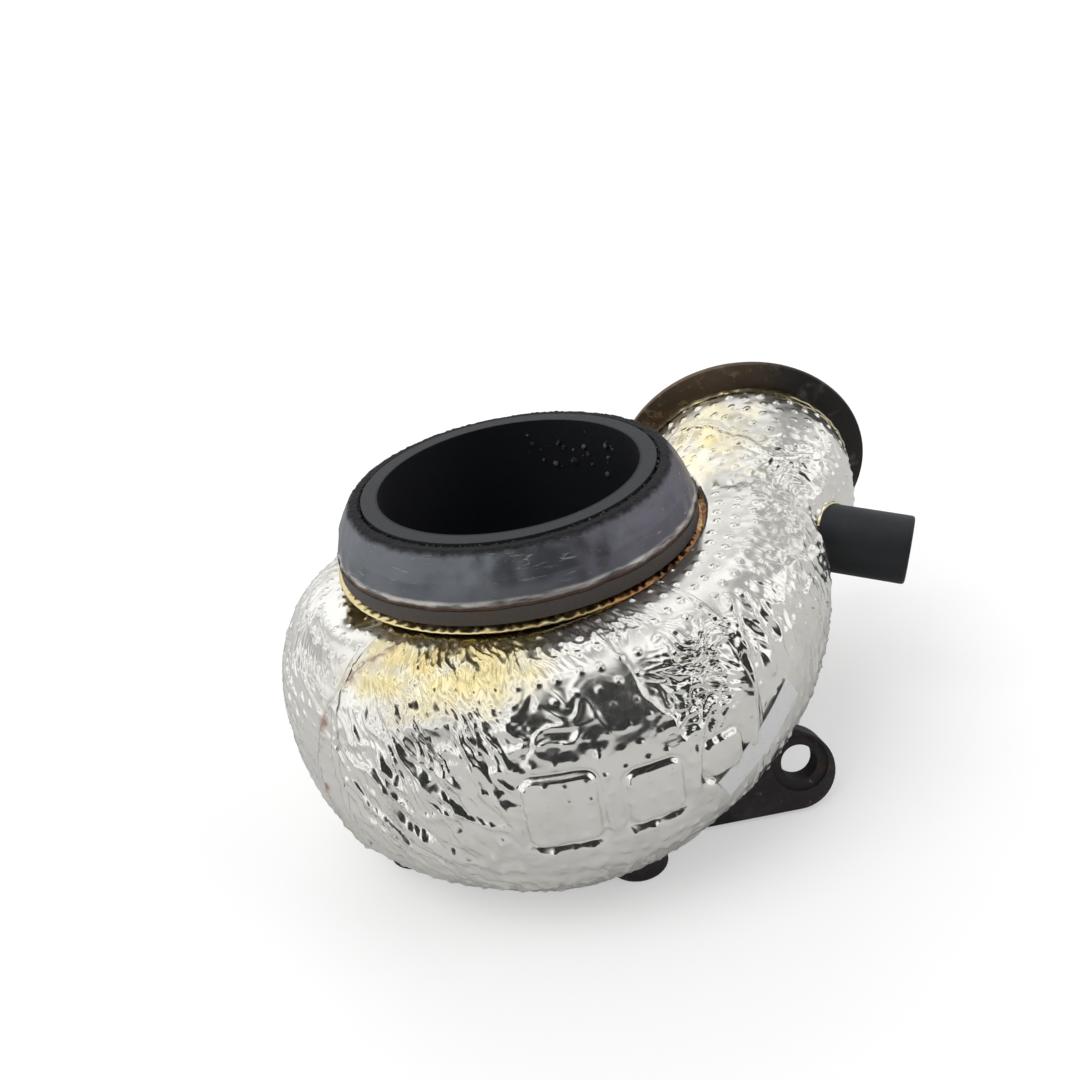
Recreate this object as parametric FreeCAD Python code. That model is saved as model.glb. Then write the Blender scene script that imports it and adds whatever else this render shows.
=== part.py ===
"""Turbocharger turbine housing in its foil heat jacket.

The cast housing stands on its bearing side with the turbine axis on +Z. The
gas comes in through the round flange at the back right, runs clockwise round
the scroll (seen from above) and leaves upwards through the outlet spigot. The
jacket is a mat of fibre under an embossed steel foil, both cut into segments.
Units are millimetres.
"""
import FreeCAD, Part
import math
import os

Vec = FreeCAD.Vector
UP = Vec(0, 0, 1)

# Outlet, on the turbine axis
HEIGHT = 125.0
OUTLET_BORE_R = 46.8
SPIGOT_R = 52.7
SEAL_IN_R = 53.3
SEAL_TOP_R = 56.3
COLLAR_R = 65.0
COLLAR_TOP_Z = 107.0
COLLAR_T = 5.0
NECK_R = 55.5

# Scroll, as its angle runs on from +X through the front to the left and back
SCROLL_END = 335.0
SEAM_FRONT = 54.0
SEAM_LEFT = 136.0
SEAM_REAR = 215.0
SEAM_HEEL = 285.0
OUT_R_START = 116.5
OUT_R_SLOPE = 0.1225
OUT_R_DIP = 7.5
IN_R_START = 42.0
IN_R_END = 34.0
MID_Z_START = 70.0
MID_Z = 54.0
HALF_H_START = 34.0
HALF_H_MAX = 45.0
HALF_H_END = 32.0
SETTLE = 100.0
OVERRUN_ANGLE = 6.0
SEGMENTS = (("front", SEAM_FRONT, SEAM_LEFT), ("left", SEAM_LEFT, SEAM_REAR),
            ("rear", SEAM_REAR, SEAM_HEEL), ("heel", SEAM_HEEL, SCROLL_END + 20.0))
SECTION_POWER = 2.3
SECTION_POINTS = 20

# Inlet duct and its clamp flange
INLET_DIR = Vec(0.152, 0.961, 0.23).normalize()
INLET_C = Vec(97.2, 71.3, 77.8)
INLET_STRAIGHT = 20.0
DUCT_R = 43.0
DUCT_SETBACK = 8.0
FLANGE_R = 51.2
FLANGE_RIM_T = 2.5

# Layers of the jacket, as depths under the foil's outer face
FOIL_T = 0.5
MAT_TOP = 0.7
MAT_BOTTOM = 7.5
CAST_FACE = 7.7
PASSAGE = 12.7
SEAM_LIFT = 0.1
SEAM_W = 3.2

# Bearing side
BEARING_BORE_R = 41.0
PILOT_STEP = 6.0
PILOT_DEPTH = 4.0
BEARING_FLANGE_R = 60.0
BEARING_FLANGE_T = 9.0
BOSS_PCD = 140.0
BOSS_COUNT = 5
BOSS_FIRST = -146.0
BOSS_R = 10.5
BOSS_TOP_Z = 30.0
WEB_W = 13.0
WEB_Z = 1.5
BOLT_R = 3.4
BOLT_DEPTH = 18.0
WHEEL_R = 43.5
NOZZLE_R = 62.0
NOZZLE_LOW_Z = 40.0
NOZZLE_T = 15.0

# Stub pipe of the sensor port
PIPE_DIR = Vec(0.897, -0.406, -0.177).normalize()
PIPE_AT = Vec(122.6, 5.6, 68.4)
PIPE_OUT = 22.0
PIPE_IN = 17.0
PIPE_R = 13.0
PIPE_WALL = 2.5

# Bracket lug, on a face that leans back
LUG_TILT = 20.0
LUG_AT = Vec(80.4, -52.0, 20.0)
LUG_END = (0.1, -6.0)
LUG_END_R = 14.1
LUG_HOLE = (1.9, -3.6)
LUG_HOLE_R = 6.5
LUG_SPOT_R = 10.2
LUG_SPOT_DEPTH = 1.2
LUG_T = 11.0

# Neck, base and port closures of the foil
NECK_OPENING_R = 57.0
BASE_OPENING_R = 61.0
POCKET_R = 67.5
POCKET_Z = 99.6
FIT = 0.8
CRIMP_COUNT = 30
CRIMP_R = 0.9
PORT_SLEEVE_DEPTH = 4.0
COLLAR_GAP = 0.2

# Raised pads (scroll angle, height, width, length) and beads (angle, low, high, lean)
PADS = ((91.5, 58.0, 22.0, 24.0), (75.8, 57.0, 17.5, 19.0), (62.6, 60.0, 14.0, 12.5))
PAD_CORNER_R = 3.5
PAD_LIFT = 1.0
BEADS = ((84.0, 46.0, 67.0, 0.0), (68.4, 46.0, 69.0, 3.0), (103.0, 40.0, 66.0, 20.0))
BEAD_W = 3.0
BEAD_LIFT = 1.1

# Blank strip on the front foil
STRIP_FROM = Vec(49.7, -91.5, 48.3)
STRIP_TO = Vec(73.4, -77.4, 63.9)
STRIP_L = 40.0
STRIP_W = 10.5
STRIP_T = 0.3


def smooth(x):
    """Ease from 0 to 1 with no slope at either end."""
    x = min(max(x, 0.0), 1.0)
    return x * x * (3.0 - 2.0 * x)


def polar(radius, angle, z=0.0):
    """Point at a radius and an angle in degrees about the turbine axis."""
    return Vec(radius * math.cos(math.radians(angle)), radius * math.sin(math.radians(angle)), z)


def scroll_section(angle):
    """Middle radius, half width, middle height and half height of the scroll."""
    outer = OUT_R_START - OUT_R_SLOPE * angle - OUT_R_DIP * (1.0 - smooth(angle / SETTLE))
    inner = IN_R_START + (IN_R_END - IN_R_START) * angle / SCROLL_END
    settled = smooth(angle / SETTLE)
    late = smooth((angle - SETTLE) / (SCROLL_END - SETTLE))
    mid_z = MID_Z_START + (MID_Z - MID_Z_START) * settled
    half_h = HALF_H_START + (HALF_H_MAX - HALF_H_START) * settled - (HALF_H_MAX - HALF_H_END) * late
    return (outer + inner) / 2.0, (outer - inner) / 2.0, mid_z, half_h


def oval(centre, side, top, half_w, half_h, power):
    """Closed spline through a rounded section that stands across the flow."""
    points = []
    for i in range(SECTION_POINTS):
        a = 2.0 * math.pi * i / SECTION_POINTS
        c = math.cos(a)
        s = math.sin(a)
        x = half_w * math.copysign(abs(c) ** (2.0 / power), c)
        z = half_h * math.copysign(abs(s) ** (2.0 / power), s)
        points.append(centre + side * x + top * z)
    curve = Part.BSplineCurve()
    curve.interpolate(Points=points, PeriodicFlag=True, Parameters=[float(i) for i in range(SECTION_POINTS + 1)])
    return Part.Wire([curve.toShape()])


def scroll_wire(angle, depth):
    """Section of the scroll at an angle, the given depth under the foil."""
    mid_r, half_w, mid_z, half_h = scroll_section(angle)
    side = polar(1.0, -angle)
    return oval(side * mid_r + UP * mid_z, side, UP, half_w - depth, half_h - depth, SECTION_POWER)


def duct_wire(reach, depth):
    """Section of the inlet duct; 0 is the scroll's start, 1 the straight's."""
    mid_r, half_w, mid_z, half_h = scroll_section(0.0)
    start = Vec(mid_r, 0, mid_z)
    end = INLET_C - INLET_DIR * INLET_STRAIGHT
    span = (end - start).Length
    q = min(reach, 1.0)
    blend = smooth(q)
    leave = Vec(0, span, 0)
    arrive = INLET_DIR * span
    centre = start * (1.0 - blend) + leave * (q ** 3 - 2 * q ** 2 + q) + end * blend
    centre = centre + arrive * (q ** 3 - q ** 2) + INLET_DIR * (max(reach - 1.0, 0.0) * INLET_STRAIGHT)
    heading = (end - start) * (6 * q - 6 * q ** 2) + leave * (3 * q ** 2 - 4 * q + 1)
    heading = (heading + arrive * (3 * q ** 2 - 2 * q)).normalize()
    side = heading.cross(UP).normalize()
    top = side.cross(heading)
    wide = half_w + (DUCT_R - half_w) * blend - depth
    high = half_h + (DUCT_R - half_h) * blend - depth
    power = SECTION_POWER + (2.0 - SECTION_POWER) * blend
    return oval(centre, side, top, wide, high, power)


def loft(wires):
    """Smooth closed solid through a row of sections."""
    return Part.makeLoft(wires, True, False)


def cylinder(radius, low, high):
    """Round bar about the turbine axis between two heights."""
    return Part.makeCylinder(radius, high - low, Vec(0, 0, low))


def pocketed(body, depth):
    """A body cut back under and around the collar, by the same depth."""
    return body.cut(cylinder(POCKET_R + depth, POCKET_Z - depth, HEIGHT + 10.0))


def inlet_loft(depth):
    """Duct and first part of the scroll, carried past both ends."""
    mouth = 2.0 - (DUCT_SETBACK - 1.5) / INLET_STRAIGHT
    wires = [duct_wire(reach, depth) for reach in (mouth, 1.4, 1.2, 1.0, 0.8, 0.6, 0.4, 0.2)]
    wires += [scroll_wire(SEAM_FRONT * i / 6.0, depth) for i in range(8)]
    return loft(wires)


def scroll_loft(depth):
    """Rest of the scroll, carried past both ends."""
    step = (SCROLL_END - SEAM_FRONT) / 12.0
    return loft([scroll_wire(SEAM_FRONT + step * i, depth) for i in range(-1, 13)])


def tail_end(depth):
    """Scroll angle at which a layer of this depth ends."""
    return SCROLL_END - math.degrees((depth + 2.0) / scroll_section(SCROLL_END)[0])


def inlet_body(depth, overrun=False):
    """Inlet side of a layer, clear of the collar and cut off at both ends."""
    body = pocketed(inlet_loft(depth), depth)
    if overrun:
        return body
    beyond = rod(80.0, INLET_C - INLET_DIR * DUCT_SETBACK, INLET_DIR, 40.0)
    return body.common(sector(-75.0, SEAM_FRONT)).cut(beyond)


def scroll_body(depth, overrun=False):
    """Scroll side of a layer, clear of the collar and closed at its narrow end."""
    body = pocketed(scroll_loft(depth), depth)
    first = SEAM_FRONT - (OVERRUN_ANGLE if overrun else 0.0)
    return body.common(sector(first, tail_end(depth)))


def rod(radius, start, direction, length):
    """Round bar from a point along a direction."""
    return Part.makeCylinder(radius, length, start, direction)


def revolved(profile):
    """Solid of revolution about the turbine axis from (radius, z) corners."""
    points = [Vec(r, 0, z) for r, z in profile]
    face = Part.Face(Part.makePolygon(points + points[:1]))
    return face.revolve(Vec(0, 0, 0), UP, 360)


def sector(first, last, radius=190.0):
    """Tall wedge between two scroll angles."""
    steps = 12
    points = [Vec(0, 0, -5)]
    for i in range(steps + 1):
        points.append(polar(radius, -(first + (last - first) * i / steps), -5))
    face = Part.Face(Part.makePolygon(points + points[:1]))
    return face.extrude(Vec(0, 0, HEIGHT + 20))


def lug_point(across, up, behind=0.0):
    """Point on the lug's leaning face, or behind it."""
    tilt = math.radians(LUG_TILT)
    rise = Vec(0, math.sin(tilt), math.cos(tilt))
    back = Vec(0, math.cos(tilt), -math.sin(tilt))
    return LUG_AT + Vec(across, 0, 0) + rise * up + back * behind


def lug_arm(grow=0.0):
    """Arm and rounded end of the lug, with a margin all round."""
    end_x, end_z = LUG_END
    r = LUG_END_R + grow
    low = end_z - r
    web = [(-64.0, low), (end_x, low), (end_x, end_z), (end_x + 0.60 * r, end_z + 0.80 * r),
           (-1.8, 11.5 + grow), (-14.0, 24.0 + grow), (-64.0, 24.0 + grow)]
    corners = [lug_point(x, z, -grow) for x, z in web]
    back = lug_point(0, 0, 1.0) - lug_point(0, 0)
    arm = Part.Face(Part.makePolygon(corners + corners[:1])).extrude(back * (LUG_T + 2 * grow))
    tip = rod(r, lug_point(end_x, end_z, -grow), back, LUG_T + 2 * grow)
    return arm.fuse(tip).removeSplitter()


def bosses(radius, low, high):
    """The ring of bolt bosses on the bearing side, in one piece."""
    out = []
    for i in range(BOSS_COUNT):
        at = polar(BOSS_PCD / 2.0, BOSS_FIRST + 360.0 * i / BOSS_COUNT, low)
        out.append(Part.makeCylinder(radius, high - low, at))
    return out


def boss_webs():
    """Webs that carry the bolt bosses on the bearing flange."""
    out = []
    for i in range(BOSS_COUNT):
        length = BOSS_PCD / 2.0 - NECK_R + 4.0
        web = Part.makeBox(length, WEB_W, BOSS_TOP_Z - WEB_Z, Vec(NECK_R - 4.0, -WEB_W / 2.0, WEB_Z))
        web.rotate(Vec(0, 0, 0), UP, BOSS_FIRST + 360.0 * i / BOSS_COUNT)
        out.append(web)
    return out


def hub():
    """Neck, collar, spigot and bearing flange, with bosses and the lug."""
    body = revolved([(0, 0), (BEARING_FLANGE_R, 0), (BEARING_FLANGE_R, BEARING_FLANGE_T),
                     (NECK_R, 22.0), (NECK_R, COLLAR_TOP_Z - COLLAR_T), (COLLAR_R, COLLAR_TOP_Z - COLLAR_T),
                     (COLLAR_R, COLLAR_TOP_Z), (SPIGOT_R, COLLAR_TOP_Z), (SPIGOT_R, HEIGHT), (0, HEIGHT)])
    for added in bosses(BOSS_R, 0.0, BOSS_TOP_Z) + boss_webs() + [lug_arm()]:
        body = body.fuse(added)
    back = lug_point(0, 0, 1.0) - lug_point(0, 0)
    hole = rod(LUG_HOLE_R, lug_point(*LUG_HOLE, -1.0), back, LUG_T + 2.0)
    spot = rod(LUG_SPOT_R, lug_point(*LUG_HOLE, LUG_SPOT_DEPTH), back * -1.0, 6.0)
    for tool in [hole, spot] + bosses(BOLT_R, 0.0, BOLT_DEPTH):
        body = body.cut(tool)
    return body


def wheel_space():
    """Room for the turbine wheel, open to the nozzle and at both ends."""
    pilot_r = BEARING_BORE_R + PILOT_STEP
    return revolved([(0, 0), (pilot_r, 0), (pilot_r, PILOT_DEPTH), (BEARING_BORE_R, PILOT_DEPTH),
                     (BEARING_BORE_R, NOZZLE_LOW_Z), (NOZZLE_R, NOZZLE_LOW_Z),
                     (NOZZLE_R, NOZZLE_LOW_Z + NOZZLE_T), (WHEEL_R, NOZZLE_LOW_Z + NOZZLE_T + 4.0),
                     (WHEEL_R, 72.0), (OUTLET_BORE_R, 84.0), (OUTLET_BORE_R, HEIGHT), (0, HEIGHT)])


def housing():
    """Cast housing with its gas passage and bores."""
    shell = inlet_body(CAST_FACE).fuse(scroll_body(CAST_FACE))
    shell = shell.cut(rod(PIPE_R, PIPE_AT, PIPE_DIR * -1.0, PIPE_IN))
    shell = shell.cut(rod(PIPE_R - PIPE_WALL, PIPE_AT, PIPE_DIR * -1.0, PIPE_IN * 2.0))
    casting = shell.fuse(hub()).cut(wheel_space())
    duct = pocketed(inlet_loft(PASSAGE), PASSAGE).common(sector(-75.0, SEAM_FRONT))
    return casting.cut(duct).cut(scroll_body(PASSAGE))


def seal_ring():
    """Bevelled ring that seals the outlet joint on the collar."""
    return revolved([(SEAL_IN_R, COLLAR_TOP_Z), (COLLAR_R, COLLAR_TOP_Z), (COLLAR_R, COLLAR_TOP_Z + 1.2),
                     (63.6, COLLAR_TOP_Z + 6.0), (61.4, COLLAR_TOP_Z + 11.0), (58.6, HEIGHT - 2.0),
                     (SEAL_TOP_R, HEIGHT - 0.4), (SEAL_IN_R + 0.6, HEIGHT - 0.4), (SEAL_IN_R, HEIGHT - 1.4)])


def turned(profile, at, axis):
    """Solid of revolution about any axis from (radius, along) corners."""
    shape = revolved(profile)
    shape.Placement = FreeCAD.Placement(at, FreeCAD.Rotation(UP, axis))
    return shape


def inlet_flange():
    """Dished clamp flange welded to the mouth of the duct."""
    bore = DUCT_R - PASSAGE
    tube = DUCT_R - CAST_FACE
    start = -DUCT_SETBACK
    return turned([(bore, start), (tube, start), (tube + 1.5, start + 1.6), (FLANGE_R - 1.5, -FLANGE_RIM_T),
                   (FLANGE_R, -FLANGE_RIM_T + 0.8), (FLANGE_R, 0.0), (FLANGE_R - 1.6, 0.8),
                   (tube + 2.0, 0.8), (bore + 1.5, 0.0), (bore, -1.5)], INLET_C, INLET_DIR)


def side_pipe():
    """Stub pipe of the sensor port, with a rounded mouth."""
    edge = 1.2
    start = -PIPE_IN
    inner = PIPE_R - PIPE_WALL
    return turned([(inner, start), (PIPE_R, start), (PIPE_R, PIPE_OUT - edge), (PIPE_R - edge * 0.3, PIPE_OUT - edge * 0.3),
                   (PIPE_R - edge, PIPE_OUT), (inner + 0.5, PIPE_OUT), (inner, PIPE_OUT - 0.5)], PIPE_AT, PIPE_DIR)


def largest(shape):
    """The main solid of a cut, without the slivers that it leaves."""
    return max(shape.Solids, key=lambda solid: solid.Volume)


def opened(shape):
    """A body of the jacket with the neck, bosses, lug and port let through."""
    tools = [revolved([(0, 0), (BASE_OPENING_R, 0), (BASE_OPENING_R, MID_Z), (NECK_OPENING_R, MID_Z),
                       (NECK_OPENING_R, HEIGHT), (0, HEIGHT)])]
    tools.append(rod(PIPE_R + FIT, PIPE_AT - PIPE_DIR * (PIPE_IN + 2.0), PIPE_DIR, PIPE_IN + 40.0))
    tools.append(lug_arm(FIT))
    for tool in tools + bosses(BOSS_R + FIT, -1.0, BOSS_TOP_Z + 1.0):
        shape = shape.cut(tool)
    return shape


def layer(nodes, name, top, bottom):
    """One layer of the jacket: the inlet's piece and those round the scroll."""
    inlet = inlet_body(top)
    scroll = scroll_body(top)
    tail = scroll.common(sector(SCROLL_END - 70.0, SCROLL_END + 20.0))
    nodes[name + "_inlet"] = opened(inlet).cut(tail).cut(inlet_body(bottom, True))
    around = opened(scroll).cut(scroll_body(bottom, True))
    for place, first, last in SEGMENTS:
        piece = around.common(sector(first, last))
        if last > SCROLL_END - 70.0:
            piece = piece.cut(inlet)
        nodes[name + "_" + place] = largest(piece)


def raised(body, prism, low, high):
    """Plate that follows the jacket inside a prism, between two lifts."""
    return prism.common(body(-high)).cut(body(-low, True))


def pad_prism(angle, z, width, height, radius):
    """Radial prism with rounded corners, centred at a scroll angle and height."""
    block = Part.makeBox(40.0, width, height, Vec(80.0, -width / 2.0, z - height / 2.0))
    block = block.makeFillet(radius, [e for e in block.Edges if abs(e.tangentAt(e.FirstParameter).x) > 0.9])
    block.rotate(Vec(0, 0, 0), UP, -angle)
    return block


def bead_prism(angle, z_low, z_high, width, lean=0.0):
    """Radial prism for an upright bead, turned in its own plane by a lean."""
    z = (z_low + z_high) / 2.0
    block = Part.makeBox(40.0, width, z_high - z_low, Vec(80.0, -width / 2.0, z_low))
    block = block.makeFillet(width * 0.48, [e for e in block.Edges if abs(e.tangentAt(e.FirstParameter).x) > 0.9])
    block.rotate(Vec(0, 0, z), Vec(1, 0, 0), lean)
    block.rotate(Vec(0, 0, 0), UP, -angle)
    return block


def emboss(foil):
    """Front foil with its raised pads and the beads between them."""
    for angle, z, width, height in PADS:
        foil = foil.fuse(raised(scroll_body, pad_prism(angle, z, width, height, PAD_CORNER_R), -FOIL_T / 2.0, PAD_LIFT))
    for angle, low, high, lean in BEADS:
        foil = foil.fuse(raised(scroll_body, bead_prism(angle, low, high, BEAD_W, lean), -FOIL_T / 2.0, BEAD_LIFT))
    return foil


def strip_part(body, first, last):
    """Strip on one body of the jacket, between two scroll angles."""
    band = body(-SEAM_LIFT - FOIL_T).common(sector(first, last)).cut(cylinder(POCKET_R, MID_Z, HEIGHT))
    return opened(band).cut(body(-SEAM_LIFT, True))


def seam_strip(angle):
    """Strip welded over the joint of two foils at a scroll angle."""
    half = math.degrees(SEAM_W / 2.0 / 95.0)
    if angle > SEAM_FRONT:
        return strip_part(scroll_body, angle - half, angle + half)
    joined = strip_part(inlet_body, angle - half, angle).fuse(strip_part(scroll_body, angle, angle + half))
    return largest(joined)


def neck_collar():
    """Crimped foil ring that closes the jacket round the neck."""
    ring = revolved([(NECK_R + 0.3, POCKET_Z - 3.0), (NECK_R + 0.8, POCKET_Z - 3.0), (NECK_R + 0.8, POCKET_Z + 0.1),
                     (POCKET_R - 2.0, POCKET_Z + 0.1), (POCKET_R - 2.0, POCKET_Z + 0.6), (NECK_R + 0.3, POCKET_Z + 0.6)])
    for i in range(CRIMP_COUNT):
        angle = 360.0 * i / CRIMP_COUNT
        ridge = rod(CRIMP_R, polar(NECK_R + 2.5, angle, POCKET_Z + 0.6), polar(1.0, angle), POCKET_R - NECK_R - 5.5)
        ring = ring.fuse(ridge.cut(cylinder(POCKET_R, POCKET_Z - 3.0, POCKET_Z + 0.1)))
    return ring


def inlet_collar():
    """Ring that closes the jacket round the duct, just behind the flange."""
    tube = DUCT_R - CAST_FACE
    edge = -DUCT_SETBACK
    lip = DUCT_R + COLLAR_GAP
    return turned([(tube + 0.9, edge + COLLAR_GAP), (lip, edge + COLLAR_GAP), (lip, edge - 1.5),
                   (lip + FOIL_T, edge - 1.5), (lip + FOIL_T, edge + COLLAR_GAP - 0.1),
                   (lip - 0.6, edge + COLLAR_GAP + FOIL_T), (tube + 0.9, edge + COLLAR_GAP + FOIL_T)],
                  INLET_C, INLET_DIR)


def port_collar():
    """Thin sleeve round the stub pipe, in the jacket's opening."""
    start = PIPE_AT - PIPE_DIR * 30.0
    inner = PIPE_R + COLLAR_GAP
    sleeve = rod(inner + FOIL_T, start, PIPE_DIR, 40.0).cut(rod(inner, start, PIPE_DIR, 40.0))
    return raised(inlet_body, sleeve, -PORT_SLEEVE_DEPTH, SEAM_LIFT + FOIL_T)


def id_strip():
    """Blank strip welded low on the right of the front foil."""
    along = (STRIP_TO - STRIP_FROM).normalize()
    out = polar(1.0, -SEAM_FRONT)
    across = out.cross(along).normalize()
    out = along.cross(across)
    middle = (STRIP_FROM + STRIP_TO) * 0.5
    corner = middle - along * (STRIP_L / 2.0) - across * (STRIP_W / 2.0) - out * 20.0
    sides = [corner, corner + along * STRIP_L, corner + along * STRIP_L + across * STRIP_W, corner + across * STRIP_W]
    prism = Part.Face(Part.makePolygon(sides + sides[:1])).extrude(out * 40.0)
    low = SEAM_LIFT + FOIL_T + 0.1
    left = raised(scroll_body, prism.common(sector(SEAM_FRONT, SEAM_LEFT)), low, low + STRIP_T)
    right = raised(inlet_body, prism.common(sector(SEAM_FRONT - 50.0, SEAM_FRONT)), low, low + STRIP_T)
    return left.fuse(right)


def main():
    os.makedirs("parts", exist_ok=True)
    nodes = {}
    layer(nodes, "foil", 0.0, FOIL_T)
    nodes["foil_front"] = emboss(nodes["foil_front"])
    layer(nodes, "insulation", MAT_TOP, MAT_BOTTOM)
    for place, angle, end in SEGMENTS:
        nodes["seam_strip_" + place] = seam_strip(angle)
    nodes["foil_neck_collar"] = neck_collar()
    nodes["foil_inlet_collar"] = inlet_collar()
    nodes["foil_port_collar"] = port_collar()
    nodes["id_strip"] = id_strip()
    nodes["turbine_housing"] = housing()
    nodes["outlet_seal_ring"] = seal_ring()
    nodes["inlet_flange"] = inlet_flange()
    nodes["side_port_pipe"] = side_pipe()

    for name, shape in nodes.items():
        solids = shape.Solids
        print(name, len(solids), round(shape.Volume, 1), shape.isValid(), [round(s.Volume, 1) for s in solids][:6])
        shape.exportStep("parts/" + name + ".step")


main()
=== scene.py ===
import math
import bmesh
import bpy
import numpy as np
from mathutils import Matrix, Vector


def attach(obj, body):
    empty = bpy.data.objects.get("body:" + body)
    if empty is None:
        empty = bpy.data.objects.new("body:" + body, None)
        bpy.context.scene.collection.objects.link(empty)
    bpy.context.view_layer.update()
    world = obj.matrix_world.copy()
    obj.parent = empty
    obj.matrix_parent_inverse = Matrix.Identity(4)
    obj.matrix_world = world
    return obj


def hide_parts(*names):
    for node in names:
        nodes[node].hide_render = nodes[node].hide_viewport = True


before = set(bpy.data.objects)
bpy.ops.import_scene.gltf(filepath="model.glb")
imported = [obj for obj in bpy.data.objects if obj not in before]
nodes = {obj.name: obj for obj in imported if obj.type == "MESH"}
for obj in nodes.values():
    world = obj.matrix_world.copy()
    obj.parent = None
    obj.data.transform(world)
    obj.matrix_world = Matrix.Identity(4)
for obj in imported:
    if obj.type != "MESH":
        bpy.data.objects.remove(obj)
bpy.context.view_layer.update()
mm = 0.001
print("frame loaded,", len(nodes), "nodes")

cameraView = {"place": (0.0, -0.3895, 0.2915), "right": (0.9819, -0.0984, -0.1616),
              "back": (-0.0159, -0.8939, 0.448), "lens": 40.0, "sensor": 36.0}


def addObject(name, data):
    made = bpy.data.objects.new(name, data)
    bpy.context.scene.collection.objects.link(made)
    return made


def makeCamera(view):
    data = bpy.data.cameras.new("viewCamera")
    data.lens = view["lens"]
    data.sensor_width = view["sensor"]
    data.clip_start = 0.01
    data.clip_end = 20.0
    camera = addObject("viewCamera", data)
    back = Vector(view["back"]).normalized()
    right = Vector(view["right"])
    right = (right - back * right.dot(back)).normalized()
    turn = Matrix((right, back.cross(right), back)).transposed().to_4x4()
    camera.matrix_world = Matrix.Translation(view["place"]) @ turn
    bpy.context.scene.camera = camera


makeCamera(cameraView)


class Wire:
    # one value of a node tree; sums on it add Math nodes
    def __init__(self, tree, socket):
        self.tree = tree
        self.socket = socket

    def maths(self, operation, *values):
        return self.tree.node("ShaderNodeMath", {"operation": operation}, *values)

    def __add__(self, other):
        return self.maths("ADD", self, other)

    def __radd__(self, other):
        return self.maths("ADD", other, self)

    def __sub__(self, other):
        return self.maths("SUBTRACT", self, other)

    def __rsub__(self, other):
        return self.maths("SUBTRACT", other, self)

    def __mul__(self, other):
        return self.maths("MULTIPLY", self, other)

    def __rmul__(self, other):
        return self.maths("MULTIPLY", other, self)

    def __truediv__(self, other):
        return self.maths("DIVIDE", self, other)

    def __rtruediv__(self, other):
        return self.maths("DIVIDE", other, self)

    def __pow__(self, other):
        return self.maths("POWER", self, other)

    def clip(self):
        return self.tree.node("ShaderNodeMath", {"operation": "ADD", "use_clamp": True}, self, 0.0)

    def between(self, low, high):
        # 0 below low and 1 above high, eased between them
        return self.tree.node("ShaderNodeMapRange", {"interpolation_type": "SMOOTHSTEP"},
                              self, low, high, 0.0, 1.0)


class Tree:
    # a shader or geometry tree
    def __init__(self, tree):
        self.tree = tree
        tree.nodes.clear()

    def fill(self, socket, value):
        if isinstance(value, Wire):
            self.tree.links.new(value.socket, socket)
        elif value is not None:
            isColour = socket.type == "RGBA" and isinstance(value, tuple) and len(value) == 3
            socket.default_value = (*value, 1.0) if isColour else value

    def node(self, kind, settings=None, *values, output=0, **named):
        made = self.tree.nodes.new(kind)
        for key, value in (settings or {}).items():
            if key == "stops":
                stops = made.color_ramp.elements
                while len(stops) < len(value):
                    stops.new(0.5)
                for stop, (at, colour) in zip(stops, value):
                    stop.position = at
                    stop.color = (*colour, 1.0)
            else:
                setattr(made, key, value)
        for index, value in enumerate(values):
            self.fill(made.inputs[index], value)
        for key, value in named.items():
            self.fill(made.inputs[key.replace("_", " ")], value)
        return Wire(self, made.outputs[output]) if made.outputs else None


class Finish(Tree):
    # a material, with the few nodes that every finish here uses
    def __init__(self, name):
        self.material = bpy.data.materials.new(name)
        self.material.use_nodes = True
        super().__init__(self.material.node_tree)

    def place(self, stretch=None, turn=(0.0, 0.0, 0.0)):
        spot = self.node("ShaderNodeTexCoord", output="Object")
        if stretch is None:
            return spot
        return self.node("ShaderNodeMapping", {}, Vector=spot, Rotation=turn, Scale=stretch)

    def noise(self, scale, detail=3.0, rough=0.5, bend=0.0, where=None):
        return self.node("ShaderNodeTexNoise", {}, Vector=where or self.place(), Scale=scale, Detail=detail,
                         Roughness=rough, Distortion=bend)

    def axis(self, which):
        return self.node("ShaderNodeSeparateXYZ", {}, self.place(), output=which)

    def carried(self, name):
        return self.node("ShaderNodeAttribute", {"attribute_name": name}, output="Fac")

    def ramp(self, value, *stops):
        return self.node("ShaderNodeValToRGB", {"stops": stops}, value, output="Color")

    def mix(self, share, first, second, way="MIX"):
        unused = (None,) * 5  # the sockets for numbers and vectors
        return self.node("ShaderNodeMix", {"data_type": "RGBA", "blend_type": way}, share, *unused,
                         first, second, output=2)

    def bump(self, height, distance, strength=1.0, under=None):
        return self.node("ShaderNodeBump", {}, Height=height, Distance=distance, Strength=strength,
                         Normal=under, output="Normal")

    def done(self, **named):
        shader = self.node("ShaderNodeBsdfPrincipled", {}, **named)
        self.node("ShaderNodeOutputMaterial", {}, Surface=shader)
        return self.material


foilFinish = {"silver": (0.87, 0.86, 0.815), "dull": (0.64, 0.63, 0.60), "straw": (0.95, 0.83, 0.46),
              "gold": (0.93, 0.72, 0.36), "copper": (0.62, 0.32, 0.15), "brown": (0.16, 0.08, 0.05),
              "scorch": (0.42, 0.25, 0.17)}


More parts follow.
